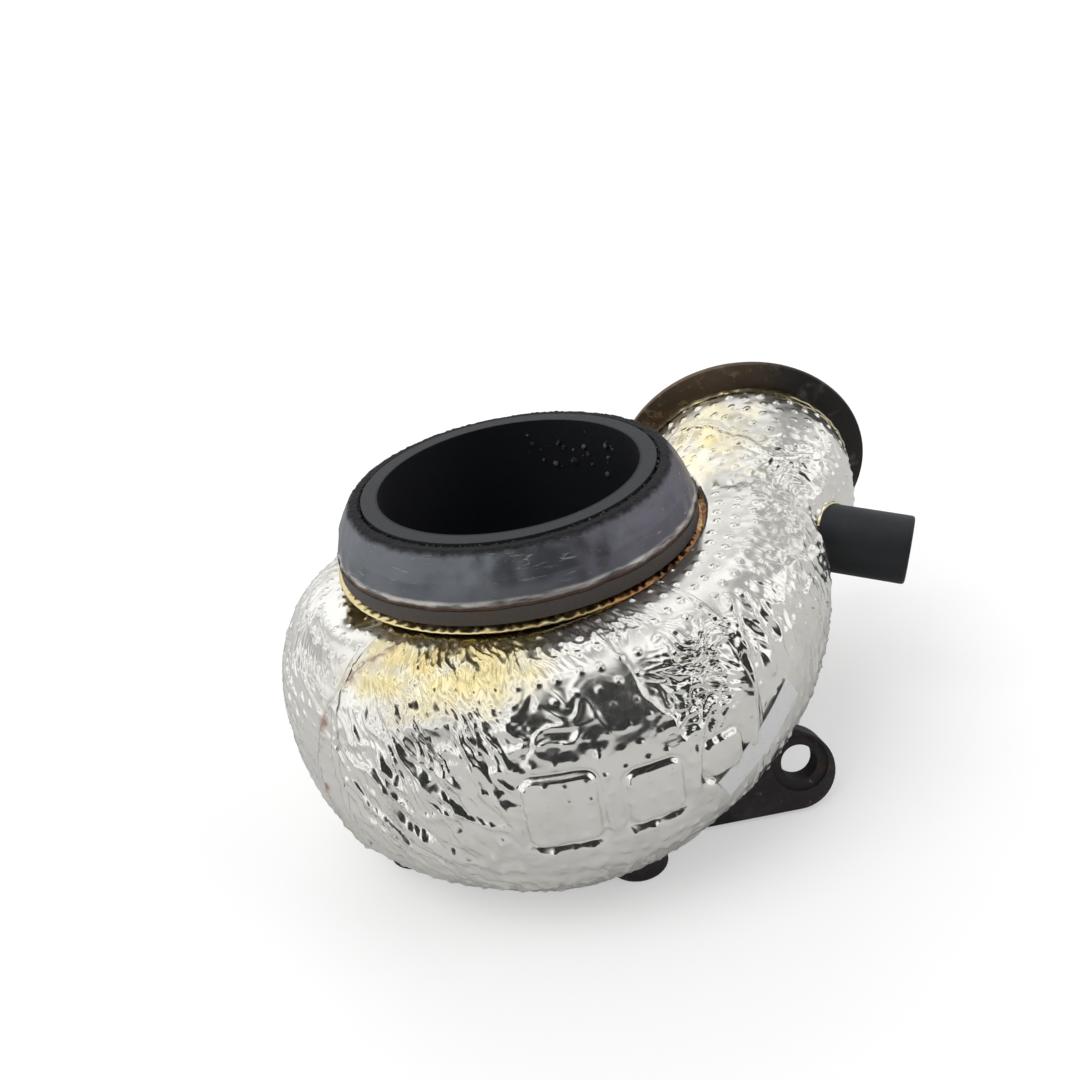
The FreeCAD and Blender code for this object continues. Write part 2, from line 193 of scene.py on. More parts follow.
def foilMaterial(look, name="heatTintedFoil", warm=0.0):
    f = Finish(name)
    heat = f.carried("tempering") + (f.noise(120.0, 3.0, 0.6) - 0.5) * 0.25 + warm
    burn = f.carried("burn") * (f.noise(170.0, 4.0, 0.7).between(0.36, 0.66) * 0.9 + 0.1)
    smudge = f.noise(38.0, 4.0, 0.6).between(0.42, 0.75)
    tint = f.ramp(heat.clip(), (0.06, look["silver"]), (0.3, look["straw"]), (0.55, look["gold"]),
                  (0.8, look["copper"]), (1.0, look["brown"]))
    colour = f.mix(smudge * 0.35, tint, look["dull"], "MULTIPLY")
    colour = f.mix(0.8 * burn.between(0.15, 0.75), colour, look["scorch"])
    scuff = f.noise(900.0, 2.0, 0.5, 0.0, f.place((1.0, 1.0, 0.12), (0.4, 0.3, 0.0)))
    rough = 0.13 + 0.13 * smudge + 0.09 * scuff + 0.25 * burn.clip()
    fine = f.noise(300.0, 3.0, 0.5) + 0.4 * scuff
    return f.done(Base_Color=colour, Metallic=1.0, Roughness=rough, Normal=f.bump(fine, 0.00006, 0.5))


ringFinish = {"steel": (0.11, 0.12, 0.135), "worn": (0.36, 0.38, 0.41), "violet": (0.115, 0.105, 0.135),
              "soot": (0.035, 0.035, 0.038), "rust": (0.15, 0.09, 0.06), "bare": (0.62, 0.60, 0.57),
              # where each tone sets in, in metres: along x, and the rest by height
              "paintedSheenToVioletFrom": (-0.02, 0.055), "rustUpTo": (0.1081, 0.1092), "lipFrom": (0.1080, 0.1090),
              "lipUpTo": (0.1094, 0.1106), "sootFrom": (0.1232, 0.1252)}


def ringMaterial(look):
    f = Finish("wornSealSteel")
    height = f.axis(2)
    broad = f.noise(28.0, 4.0, 0.6)
    streak = f.noise(260.0, 3.0, 0.6, 0.0, f.place((0.35, 0.35, 2.2)))
    # along x the steel turns violet and its pale worn patches are halved there, so the left side stays
    # lighter: painted reflection on the left, laid over real wear patches
    side = f.axis(0).between(*look["paintedSheenToVioletFrom"])
    colour = f.mix(side, look["steel"], look["violet"])
    colour = f.mix((broad * 1.3 - 0.25).clip() * (1.0 - 0.5 * side) * 0.55, colour, look["worn"])
    scratch = f.noise(150.0, 5.0, 0.7, 1.2, f.place((0.5, 0.5, 3.5))).between(0.60, 0.68)
    colour = f.mix(scratch * 0.5, colour, look["bare"])
    low = 1.0 - height.between(*look["rustUpTo"])
    colour = f.mix(low * 0.85, colour, look["rust"])
    lip = height.between(*look["lipFrom"]) * (1.0 - height.between(*look["lipUpTo"]))
    colour = f.mix(lip * streak.between(0.35, 0.6), colour, look["bare"])
    top = (height + 0.0016 * f.noise(300.0, 4.0, 0.7)).between(*look["sootFrom"])
    colour = f.mix(top, colour, look["soot"])
    grit = f.noise(650.0, 4.0, 0.65)
    rough = 0.30 + 0.22 * broad + 0.30 * top + 0.25 * low
    return f.done(Base_Color=colour, Metallic=0.85, Roughness=rough,
                  Normal=f.bump(grit * (0.5 + 1.4 * top + low) - 1.2 * scratch, 0.00022, 0.6))


castFinish = {"black": (0.012, 0.013, 0.016), "spigot": (0.032, 0.035, 0.039),
              "collar": (0.100, 0.092, 0.090), "iron": (0.045, 0.040, 0.042), "rust": (0.20, 0.085, 0.030),
              "ochre": (0.42, 0.28, 0.12), "face": (0.14, 0.12, 0.115),
              # where each part of the casting begins or ends, in metres
              "boreWall": (0.0472, 0.0480), "boreEnd": (0.060, 0.064), "rimFrom": (0.1015, 0.1022),
              "collarFrom": (0.0560, 0.0580), "lugTop": (0.04, 0.05), "lugFrom": 0.088}


def castMaterial(look):
    f = Finish("castIron")
    x, y, z = f.axis(0), f.axis(1), f.axis(2)
    radius = (x * x + y * y) ** 0.5
    bore = (1.0 - radius.between(*look["boreWall"])) * z.between(*look["boreEnd"])
    rim = z.between(*look["rimFrom"]) * (1.0 - bore)
    broad = f.noise(60.0, 5.0, 0.62)
    grain = f.noise(480.0, 4.0, 0.6)
    colour = f.mix(broad.between(0.50, 0.72) * 0.55, look["iron"], look["face"])
    edge = (f.noise(130.0, 4.0, 0.7) - 0.5 + 9.0 * (x - look["lugFrom"])).between(0.04, 0.30)
    edge = edge * (1.0 - z.between(*look["lugTop"]))
    colour = f.mix(edge * 0.85, colour, look["rust"])
    spots = f.noise(210.0, 3.0, 0.7).between(0.64, 0.72)
    colour = f.mix(spots * 0.55, colour, look["ochre"])
    colour = f.mix(rim, colour, look["spigot"])
    collar = rim * radius.between(*look["collarFrom"])
    colour = f.mix(collar, colour, look["collar"])
    colour = f.mix(collar * grain.between(0.52, 0.68) * 0.45, colour, look["rust"])
    colour = f.mix(bore, colour, look["black"])
    rough = 0.62 + 0.2 * grain - 0.14 * rim + 0.10 * collar - 0.12 * bore
    height = (broad + 0.45 * grain) * (1.0 - 0.75 * rim + 0.6 * collar - 0.6 * bore)
    return f.done(Base_Color=colour, Metallic=0.35, Roughness=rough, Normal=f.bump(height, 0.0007, 0.6))


flangeFinish = {"bronze": (0.165, 0.120, 0.080), "dark": (0.030, 0.027, 0.026), "gold": (0.42, 0.29, 0.12),
                "rim": (0.22, 0.20, 0.19), "darkFrom": (0.090, 0.135), "crustUpTo": (0.085, 0.115)}


def flangeMaterial(look):
    f = Finish("scorchedFlangeSteel")
    x = f.axis(0)
    broad = f.noise(45.0, 5.0, 0.65)
    colour = f.mix((x + 0.02 * broad).between(*look["darkFrom"]), look["bronze"], look["dark"])
    crust = f.noise(190.0, 5.0, 0.7).between(0.54, 0.66) * (1.0 - x.between(*look["crustUpTo"]))
    colour = f.mix(crust * 0.75, colour, look["gold"])
    colour = f.mix(f.noise(95.0, 4.0, 0.6).between(0.55, 0.75) * 0.4, colour, look["rim"])
    grit = f.noise(420.0, 4.0, 0.65)
    return f.done(Base_Color=colour, Metallic=0.75, Roughness=0.36 + 0.25 * broad + 0.25 * crust,
                  Normal=f.bump(grit + 1.5 * crust, 0.0003, 0.6))


pipeFinish = {"black": (0.010, 0.011, 0.013), "grey": (0.022, 0.024, 0.028), "dust": (0.09, 0.09, 0.09)}


def pipeMaterial(look):
    f = Finish("mattBlackPipe")
    broad = f.noise(70.0, 4.0, 0.6)
    grit = f.noise(700.0, 3.0, 0.6)
    dust = f.noise(160.0, 5.0, 0.7).between(0.60, 0.80)
    colour = f.mix(broad, look["black"], look["grey"])
    colour = f.mix(dust * 0.25, colour, look["dust"])
    return f.done(Base_Color=colour, Metallic=0.2, Roughness=0.46 + 0.18 * grit,
                  Normal=f.bump(grit, 0.0002, 0.4))


matFinish = {"dark": (0.16, 0.145, 0.125), "pale": (0.46, 0.42, 0.36), "singed": (0.10, 0.075, 0.055)}


def matMaterial(look):
    f = Finish("fibreMat")
    strand = f.noise(900.0, 4.0, 0.7, 0.8, f.place((1.0, 1.0, 0.25), (0.5, 0.2, 0.0)))
    broad = f.noise(80.0, 4.0, 0.6)
    colour = f.mix(strand, look["dark"], look["pale"])
    colour = f.mix(broad.between(0.5, 0.8) * 0.6, colour, look["singed"])
    return f.done(Base_Color=colour, Roughness=0.95, Normal=f.bump(strand, 0.0008, 0.9))


stripFinish = {"silver": (0.88, 0.88, 0.88), "worn": (0.62, 0.62, 0.61)}


def stripMaterial(look):
    f = Finish("bareSilverStrip")
    wear = f.noise(240.0, 5.0, 0.65)
    grain = f.noise(1400.0, 2.0, 0.5, 0.0, f.place((1.0, 1.0, 0.2)))
    colour = f.mix(wear.between(0.52, 0.80) * 0.5, look["silver"], look["worn"])
    return f.done(Base_Color=colour, Metallic=0.10, Roughness=0.44 + 0.2 * grain,
                  Normal=f.bump(grain, 0.0001, 0.4))


crustFinish = {"black": (0.020, 0.022, 0.022), "ash": (0.13, 0.135, 0.125)}


def crustMaterial(look):
    f = Finish("burntDeposit")
    broad = f.noise(300.0, 4.0, 0.7)
    colour = f.mix(broad.between(0.42, 0.62), look["black"], look["ash"])
    return f.done(Base_Color=colour, Roughness=0.85, Normal=f.bump(f.noise(1200.0, 3.0, 0.7), 0.0003, 0.8))


# shape of the jacket, by the same rule as the solids, in millimetres
scroll = {"out": 116.5, "slope": 0.1225, "dip": 7.5, "inner": 42.0, "innerEnd": 34.0, "middle": 70.0,
          "middleEnd": 54.0, "half": (34.0, 45.0, 32.0), "settled": 100.0, "end": 335.0, "tail": 332.8,
          "power": 2.3}
duct = {"radius": 43.0, "straight": 20.0, "middle": (97.2, 71.3, 77.8), "way": (0.152, 0.961, 0.23),
        "mouth": 1.6}
foilJoints = {"front": 54.0, "left": 136.0, "rear": 215.0, "heel": 285.0}  # where each foil begins


def eased(x):
    x = np.clip(x, 0.0, 1.0)
    return x * x * (3.0 - 2.0 * x)


def scrollSection(angle):
    out = scroll["out"] - scroll["slope"] * angle - scroll["dip"] * (1.0 - eased(angle / scroll["settled"]))
    inner = scroll["inner"] + (scroll["innerEnd"] - scroll["inner"]) * angle / scroll["end"]
    settled = eased(angle / scroll["settled"])
    late = eased((angle - scroll["settled"]) / (scroll["end"] - scroll["settled"]))
    middle = scroll["middle"] + (scroll["middleEnd"] - scroll["middle"]) * settled
    first, most, last = scroll["half"]
    high = first + (most - first) * settled - (most - last) * late
    return (out + inner) / 2.0, (out - inner) / 2.0, middle, high


def unit(v):
    return v / np.linalg.norm(v, axis=-1, keepdims=True)


def tubeFrames(u):
    # u is the scroll angle in degrees, or below 0 the reach along the duct
    u = np.asarray(u, float)
    mid, wide, middle, high = scrollSection(np.maximum(u, 0.0))
    turn = np.radians(-np.maximum(u, 0.0))
    side = np.stack([np.cos(turn), np.sin(turn), 0.0 * turn], -1)
    top = np.zeros_like(side)
    top[..., 2] = 1.0
    centre = side * mid[..., None] + top * middle[..., None]
    power = np.full_like(wide, scroll["power"])
    mid0, wide0, middle0, high0 = (float(v) for v in scrollSection(np.array(0.0)))
    start = np.array([mid0, 0.0, middle0])
    way = unit(np.array(duct["way"]))
    end = np.array(duct["middle"]) - way * duct["straight"]
    span = np.linalg.norm(end - start)
    reach = np.maximum(-u, 0.0)
    q = np.minimum(reach, 1.0)
    blend = eased(q)
    leave = np.array([0.0, span, 0.0])
    arrive = way * span

    def along(k):
        return k[..., None]

    line = start * along(1.0 - blend) + leave * along(q ** 3 - 2 * q ** 2 + q) + end * along(blend)
    beyond = np.maximum(reach - 1.0, 0.0) * duct["straight"]
    line = line + arrive * along(q ** 3 - q ** 2) + way * along(beyond)
    heading = (end - start) * along(6 * q - 6 * q ** 2) + leave * along(3 * q ** 2 - 4 * q + 1)
    heading = unit(heading + arrive * along(3 * q ** 2 - 2 * q))
    ductSide = unit(np.cross(heading, np.array([0.0, 0.0, 1.0])))
    isDuct = u < 0.0
    centre = np.where(along(isDuct), line, centre)
    top = np.where(along(isDuct), np.cross(ductSide, heading), top)
    side = np.where(along(isDuct), ductSide, side)
    wide = np.where(isDuct, wide0 + (duct["radius"] - wide0) * blend, wide)
    high = np.where(isDuct, high0 + (duct["radius"] - high0) * blend, high)
    power = np.where(isDuct, scroll["power"] + (2.0 - scroll["power"]) * blend, power)
    return centre, side, top, wide, high, power


def onTube(u, phi, depth=0.0):
    # points of the jacket at a place along the tube and an angle round its section
    centre, side, top, wide, high, power = tubeFrames(u)
    c = np.cos(np.radians(phi))
    s = np.sin(np.radians(phi))
    x = (wide - depth) * np.sign(c) * np.abs(c) ** (2.0 / power)
    z = (high - depth) * np.sign(s) * np.abs(s) ** (2.0 / power)
    return centre + side * x[..., None] + top * z[..., None]


def hashed(ix, iy, iz, seed):
    h = (ix * 73856093) ^ (iy * 19349663) ^ (iz * 83492791) ^ (seed * 40503)
    h = (h & 0xFFFFFFFF) * 2654435761 & 0xFFFFFFFF
    h = (h ^ (h >> 15)) * 2246822519 & 0xFFFFFFFF
    return h ^ (h >> 13)


def ripple(points, seed):
    # smooth noise in space, about -1 to 1
    base = np.floor(points).astype(np.int64)
    part = points - base
    ease = part * part * part * (part * (part * 6.0 - 15.0) + 10.0)
    total = np.zeros(points.shape[:-1])
    for dx in (0, 1):
        for dy in (0, 1):
            for dz in (0, 1):
                h = hashed(base[..., 0] + dx, base[..., 1] + dy, base[..., 2] + dz, seed)
                gx = (h & 1023) / 511.5 - 1.0
                gy = ((h >> 10) & 1023) / 511.5 - 1.0
                gz = ((h >> 20) & 1023) / 511.5 - 1.0
                dot = gx * (part[..., 0] - dx) + gy * (part[..., 1] - dy) + gz * (part[..., 2] - dz)
                wx = ease[..., 0] if dx else 1.0 - ease[..., 0]
                wy = ease[..., 1] if dy else 1.0 - ease[..., 1]
                wz = ease[..., 2] if dz else 1.0 - ease[..., 2]
                total += dot * wx * wy * wz
    return total * 1.6


def folds(a, b, bend, way, length, width, seed, swirl=1.0):
    # sharp ridges that run one way over the sheet, bent by slower noise
    turn = math.radians(way)
    along = a * math.cos(turn) + b * math.sin(turn) + 3.0 * swirl * bend[0]
    across = b * math.cos(turn) - a * math.sin(turn) + width * swirl * bend[1]
    n = ripple(np.stack([along / length, across / width, 0.0 * a + 0.37 * seed], -1), seed)
    return (1.0 - np.minimum(1.0, np.abs(n) * 2.2)) ** 1.4


# what is pressed and crumpled into the foil
dimples = {"pitch": 6.4, "radius": 1.05, "height": 0.52, "stray": 0.7, "seed": 5}
crumples = (
    # middle along the tube and round it, reach in mm and degrees, height, way of folds, length, width, swirl
    ((117.0, 16.0), (28.0, 38.0), 2.8, 44.0, 16.0, 5.0, 0.7),
    ((112.0, 40.0), (22.0, 16.0), 1.2, 70.0, 10.0, 3.6, 1.2),
    ((62.0, 42.0), (15.0, 20.0), 2.4, 14.0, 9.0, 3.1, 2.2),
    ((65.0, 24.0), (12.0, 14.0), 1.5, -40.0, 8.0, 3.0, 2.0),
    ((44.0, 34.0), (13.0, 26.0), 1.5, 70.0, 18.0, 5.2, 0.6),
    ((16.0, 26.0), (34.0, 34.0), 0.8, 58.0, 12.0, 5.0, 1.4),
    ((22.0, -14.0), (40.0, 24.0), 0.7, 74.0, 16.0, 4.0, 0.8),
    ((-0.45, 50.0), (18.0, 24.0), 0.8, 35.0, 9.0, 4.4, 1.6),
    ((166.0, 16.0), (48.0, 46.0), 0.75, 10.0, 24.0, 4.0, 0.5),
    ((106.0, 78.0), (36.0, 15.0), 1.3, 60.0, 12.0, 4.0, 1.0),
    ((74.0, 84.0), (16.0, 10.0), 0.9, 76.0, 10.0, 3.4, 1.0),
    ((88.0, -40.0), (70.0, 16.0), 0.6, 76.0, 9.0, 4.4, 1.0),
    ((90.0, 40.0), (24.0, 18.0), 0.8, -24.0, 12.0, 6.0, 1.0),
    ((235.0, 20.0), (80.0, 60.0), 0.8, 20.0, 18.0, 4.6, 0.8),
    ((310.0, 40.0), (46.0, 60.0), 0.7, 55.0, 12.0, 4.4, 1.0),
)
hammered = (
    # middle, reach, height
    ((14.0, 36.0), (34.0, 34.0), 0.95),
    ((-0.7, 60.0), (34.0, 60.0), 0.35),
    ((120.0, -20.0), (60.0, 30.0), 0.45),
    ((86.0, -24.0), (60.0, 22.0), 0.50),
    ((20.0, 60.0), (40.0, 24.0), 0.45),
)
# pressed pads of the front: scroll angle, level, width and height of each, then how they are pressed
pads = {"at": ((91.5, 58.0, 22.0, 24.0), (75.8, 57.0, 17.5, 19.0), (62.6, 60.0, 14.0, 12.5)), "corner": 3.5,
        "lift": 1.1, "groove": 0.6, "sill": 1.7}
ridges = (
    # places on the tube, height, width
    (((49, 62), (52.5, 43), (55, 15), (56, -2)), 2.2, 2.0),
    (((45, 58), (47.5, 40), (49, 18)), 1.4, 1.8),
    (((84, 25), (84.3, 8), (84.0, -6)), 1.3, 1.5),
    (((66.0, 24), (67.5, 10), (68.5, -4)), 1.2, 1.5),
    (((104.5, 26), (101.0, 8), (98.0, -10)), 1.1, 1.5),
    (((-0.62, 92), (-0.40, 60), (-0.12, 30)), 1.2, 1.8),
    (((-0.95, 118), (-0.75, 98), (-0.60, 88)), -0.9, 1.6),
)
laps = (
    # edge of an overlap: places on the tube, step, way that it fades
    (((77, 80), (74.5, 57), (74, 41), (70.5, 27), (69.0, 12)), 0.75, 1.0),
    (((125.5, 87), (130.5, 74), (136, 48), (139.5, 30), (142, 8), (142, -20), (140, -60)), 1.0, -1.0),
    (((214, 95), (215.5, 60), (214, 20), (216, -20), (215, -70)), 0.8, 1.0),
    (((285, 95), (284, 50), (286, 10), (285, -40)), 0.8, 1.0),
)
dents = (
    # middle, width, depth
    ((-57.0, -32.0, 97.0), 8.5, -2.6),
    ((-20.0, -82.0, 92.0), 9.0, -0.9),
    ((30.0, -86.0, 90.0), 12.0, -0.8),
    ((118.0, 20.0, 60.0), 14.0, -0.9),
)


def lineDistance(points, line):
    best = np.full(len(points), 1e9)
    for a, b in zip(line[:-1], line[1:]):
        d = b - a
        t = np.clip((points - a) @ d / (d @ d), 0.0, 1.0)
        best = np.minimum(best, np.linalg.norm(points - a - t[:, None] * d, axis=1))
    return best


def placesLine(places):
    u = np.array([p[0] for p in places], float)
    phi = np.array([p[1] for p in places], float)
    t = np.linspace(0, len(places) - 1, 6 * len(places))
    steps = np.arange(len(places))
    return np.interp(t, steps, u), np.interp(t, steps, phi)


fineU = np.concatenate([np.linspace(-duct["mouth"], 0.0, 90)[:-1], np.linspace(0.0, scroll["end"], 900)])
outline = onTube(fineU, np.zeros_like(fineU))
fineA = np.concatenate([[0.0], np.cumsum(np.linalg.norm(np.diff(outline, axis=0), axis=1))])
fineA = fineA - np.interp(0.0, fineU, fineA)


def lengthAt(u):
    return np.interp(u, fineU, fineA)


def dimpleHeight(u, phi, b):
    # rows of small pimples, each row spaced along its own length
    pitch = dimples["pitch"]
    height = np.zeros_like(b)
    row = np.rint(b / pitch).astype(int)
    for k in np.unique(row):
        here = row == k
        centre, side, top, wide, high, power = tubeFrames(fineU)
        rowPhi = np.degrees(k * pitch / np.maximum((wide + high) / 2.0, 1.0))
        line = onTube(fineU, rowPhi)
        length = np.concatenate([[0.0], np.cumsum(np.linalg.norm(np.diff(line, axis=0), axis=1))])
        at = np.interp(u[here], fineU, length) + 0.5 * pitch * (k % 2)
        m = np.rint(at / pitch).astype(int)
        h = hashed(m, np.full_like(m, k), np.zeros_like(m), dimples["seed"])
        strayA = ((h & 255) / 255.0 - 0.5) * 2.0 * dimples["stray"]
        strayB = (((h >> 8) & 255) / 255.0 - 0.5) * 2.0 * dimples["stray"]
        size = 0.75 + 0.5 * ((h >> 16) & 255) / 255.0
        far = np.hypot(at - m * pitch - strayA, b[here] - k * pitch - strayB)
        height[here] = size * np.exp(-(far / dimples["radius"]) ** 2.6)
    return height * dimples["height"]


def padHeight(points):
    lift = np.zeros(len(points))
    for angle, middle, wide, high in pads["at"]:
        turn = math.radians(angle)
        x = points[:, 0] * math.cos(turn) - points[:, 1] * math.sin(turn)
        y = points[:, 0] * math.sin(turn) + points[:, 1] * math.cos(turn)
        z = points[:, 2] - middle
        corner = pads["corner"]
        dx = np.abs(y) - wide / 2.0 + corner
        dz = np.abs(z) - high / 2.0 + corner
        outside = np.hypot(np.maximum(dx, 0.0), np.maximum(dz, 0.0))
        edge = outside + np.minimum(np.maximum(dx, dz), 0.0) - corner
        edge = np.where(x > 60.0, edge, 50.0)
        low = eased(-1.6 * z / high)  # the groove is deep and wide along the lower edge
        across = (edge - 1.2 - 0.5 * low) / (0.8 + 0.7 * low)
        groove = pads["groove"] * (1.0 + pads["sill"] * low) * np.exp(-across ** 2)
        lift += pads["lift"] * (1.0 - eased((edge + 1.1) / 1.7)) - groove
    return lift


def spread(a, phi, at, reach):
    da = (a - lengthAt(at[0])) / reach[0]
    dp = (phi - at[1]) / reach[1]
    return np.exp(-(da * da + dp * dp) ** 1.4)


def sheetHeight(u, phi, b, spot):
    a = lengthAt(u)
    rough = np.zeros_like(b)
    height = 0.60 * ripple(spot / 27.0, 1) + 0.13 * ripple(spot / 10.0, 2)
    bend = np.stack([ripple(spot / 9.0, 12), ripple(spot / 14.0, 11)])
    for at, reach, high in hammered:
        height += high * spread(a, phi, at, reach) * ripple(spot / 4.6, 14)
    for index, (at, reach, high, way, long, wide, swirl) in enumerate(crumples):
        mask = spread(a, phi, at, reach)
        on = mask > 0.02
        if not on.any():
            continue
        some = (a[on], b[on], bend[:, on])
        ridge = folds(*some, way, long, wide, 20 + index, swirl)
        fine = folds(*some, way + 24.0, long * 0.5, wide * 0.5, 60 + index, swirl)
        height[on] += high * mask[on] * (ridge + 0.3 * fine - 0.45)
        rough[on] = np.maximum(rough[on], mask[on] * min(1.0, high))
    lift = padHeight(spot)
    height = height * (1.0 - 0.75 * (np.abs(lift) > 0.9 * pads["lift"])) + lift
    for places, high, wide in ridges:
        lineU, linePhi = placesLine(places)
        far = lineDistance(spot, onTube(lineU, linePhi))
        height += high * np.exp(-(far / wide) ** 2) * (0.8 + 0.4 * ripple(spot / 5.0, 7))
    for places, step, way in laps:
        lineU, linePhi = placesLine(places)
        far = lineDistance(spot, onTube(lineU, linePhi))
        order = np.argsort(linePhi)
        past = (u - np.interp(phi, linePhi[order], lineU[order])) * way
        past = past * 1.7 + 0.5 * ripple(spot / 3.0, 8)
        height += step * eased(past / 0.7 + 0.5) * np.exp(-far / 7.0) + 0.35 * np.exp(-(far / 1.3) ** 2)
    for middle, wide, deep in dents:
        far = np.linalg.norm(spot - np.array(middle), axis=1)
        height += deep * np.exp(-(far / wide) ** 2.4)
    return height + dimpleHeight(u, phi, b) * (1.0 - 0.6 * rough), rough


# openings of the foil, in millimetres
openings = {"neck": 57.0, "base": 61.0, "split": 54.0, "fit": 0.8, "portRadius": 13.0,
            "portAt": (122.6, 5.6, 68.4), "portWay": (0.897, -0.406, -0.177),
            "bossRing": 70.0, "bossCount": 5, "bossFirst": -146.0, "bossRadius": 10.5, "bossTop": 31.0,
            "lugAt": (80.4, -52.0, 20.0), "lugTilt": 20.0, "lugEnd": (0.1, -6.0), "lugRadius": 14.1,
            "lugThick": 11.0, "collar": 65.5, "collarUnder": 99.3, "stripRim": 67.6}


def lugDistance(points, grow):
    tilt = math.radians(openings["lugTilt"])
    rel = points - np.array(openings["lugAt"])
    x = rel[:, 0]
    z = rel[:, 1] * math.sin(tilt) + rel[:, 2] * math.cos(tilt)
    behind = rel[:, 1] * math.cos(tilt) - rel[:, 2] * math.sin(tilt)
    endX, endZ = openings["lugEnd"]
    r = openings["lugRadius"] + grow
    low = endZ - r
    web = [(-64.0, low), (endX, low), (endX, endZ), (endX + 0.60 * r, endZ + 0.80 * r), (-1.8, 11.5 + grow),
           (-14.0, 24.0 + grow), (-64.0, 24.0 + grow)]
    inside = np.zeros(len(points), bool)
    far = np.full(len(points), 1e9)
    for (x0, z0), (x1, z1) in zip(web, web[1:] + web[:1]):
        crosses = (z0 > z) != (z1 > z)
        with np.errstate(divide="ignore", invalid="ignore"):
            at = (x1 - x0) * (z - z0) / (z1 - z0) + x0
        inside ^= crosses & (x < at)
        dx, dz = x1 - x0, z1 - z0
        t = np.clip(((x - x0) * dx + (z - z0) * dz) / (dx * dx + dz * dz), 0.0, 1.0)
        far = np.minimum(far, np.hypot(x - x0 - t * dx, z - z0 - t * dz))
    flat = np.minimum(np.where(inside, -far, far), np.hypot(x - endX, z - endZ) - r)
    return np.maximum(flat, np.maximum(-behind - grow, behind - openings["lugThick"] - grow))


def sectionLevel(points, u):
    # below 0 inside the tube at that place along it
    centre, side, top, wide, high, power = tubeFrames(u)
    rel = points - centre
    x = np.abs((rel * side).sum(-1)) / wide
    z = np.abs((rel * top).sum(-1)) / high
    return (x ** power + z ** power) ** (1.0 / power) - 1.0


def insideTail(points):
    # clear of the scroll's narrow end, for the foil of the duct
    angle = np.degrees(np.arctan2(-points[:, 1], points[:, 0])) % 360.0
    level = sectionLevel(points, np.clip(angle, 200.0, scroll["tail"])) * 30.0
    return np.where((angle > 200.0) & (angle < scroll["tail"]), level, 5.0)


def insideDuct(points):
    # clear of the duct and the scroll's wide start, for the foil of the narrow end
    reach = np.linspace(-duct["mouth"], 0.0, 161)
    centre = tubeFrames(reach)[0]
    far = ((points[:, None, :] - centre[None, :, :]) ** 2).sum(-1)
    level = sectionLevel(points, reach[far.argmin(1)]) * 38.0
    angle = np.degrees(np.arctan2(-points[:, 1], points[:, 0])) % 360.0
    start = foilJoints["front"]
    early = np.where(angle < start, sectionLevel(points, np.minimum(angle, start)) * 36.0, 5.0)
    return np.where(points[:, 1] > 0.0, level, early)


def atNeck(points):
    r = np.hypot(points[:, 0], points[:, 1])
    return r - np.where(points[:, 2] > openings["split"], openings["neck"], openings["base"])


def atPort(points):
    way = unit(np.array(openings["portWay"]))
    rel = points - np.array(openings["portAt"])
    along = rel @ way
    off = np.linalg.norm(rel - along[:, None] * way, axis=1)
    return np.where(along > -22.0, off - openings["portRadius"] - openings["fit"], 9.0)


def atLug(points):
    return lugDistance(points, openings["fit"])


def atBosses(points):
    boss = np.full(len(points), 9.0)
    for i in range(openings["bossCount"]):
        turn = math.radians(openings["bossFirst"] + 360.0 * i / openings["bossCount"])
        at = openings["bossRing"] * np.array([math.cos(turn), math.sin(turn)])
        away = np.linalg.norm(points[:, :2] - at, axis=1)
        boss = np.minimum(boss, away - openings["bossRadius"] - openings["fit"])
    return np.where(points[:, 2] < openings["bossTop"], boss, 9.0)


def opened(name, points, data, faces, margin=0.0):
    # lets the neck, port, lug and bosses through, and parts the duct from the narrow end
    others = {"inlet": [atPort, atLug, insideTail], "front": [atLug], "rear": [insideDuct],
              "heel": [insideDuct]}
    for test in [atNeck, atBosses] + others.get(name, []):
        points, data, faces = cutAway(points, data, faces, test(points) - margin)
    return points, data, faces


def cutAway(points, data, faces, keep):
    # cuts triangles along keep = 0 and leaves the side where it is above 0
    inside = keep[faces] > 0.0
    count = inside.sum(1)
    kept = [faces[count == 3]]
    mixed = np.where((count > 0) & (count < 3))[0]
    made = {}
    extraPoints, extraData, extraFaces = [], [], []

    def between(i, j):
        key = (min(i, j), max(i, j))
        if key not in made:
            t = keep[i] / (keep[i] - keep[j])
            made[key] = len(points) + len(extraPoints)
            extraPoints.append(points[i] + (points[j] - points[i]) * t)
            extraData.append(data[i] + (data[j] - data[i]) * t)
        return made[key]

    for f in mixed:
        tri = [int(v) for v in faces[f]]
        loop = []
        for i, j in zip(tri, tri[1:] + tri[:1]):
            if keep[i] > 0.0:
                loop.append(i)
            if (keep[i] > 0.0) != (keep[j] > 0.0):
                loop.append(between(i, j))
        extraFaces.append(loop[:3])
        if len(loop) == 4:
            extraFaces.append([loop[0], loop[2], loop[3]])
    if extraPoints:
        points = np.vstack([points, extraPoints])
        data = np.vstack([data, extraData])
        kept.append(np.array(extraFaces, int))
    return points, data, np.vstack(kept)


def makeMesh(name, points, faces, data=None, names=()):
    used, where = np.unique(faces, return_inverse=True)
    faces = where.reshape(faces.shape)
    points = points[used]
    mesh = bpy.data.meshes.new(name)
    mesh.from_pydata((points * mm).tolist(), [], faces.tolist())
    mesh.update()
    for index, title in enumerate(names):
        carried = mesh.attributes.new(title, "FLOAT", "POINT")
        carried.data.foreach_set("value", data[used, index].astype(np.float32))
    mesh.polygons.foreach_set("use_smooth", np.ones(len(mesh.polygons), bool))
    return addObject(name, mesh)


def thicken(piece, thickness, rimOnly=False):
    shell = piece.modifiers.new("thickness", "SOLIDIFY")
    shell.thickness = thickness * mm
    shell.offset = -1.0
    shell.use_rim_only = rimOnly


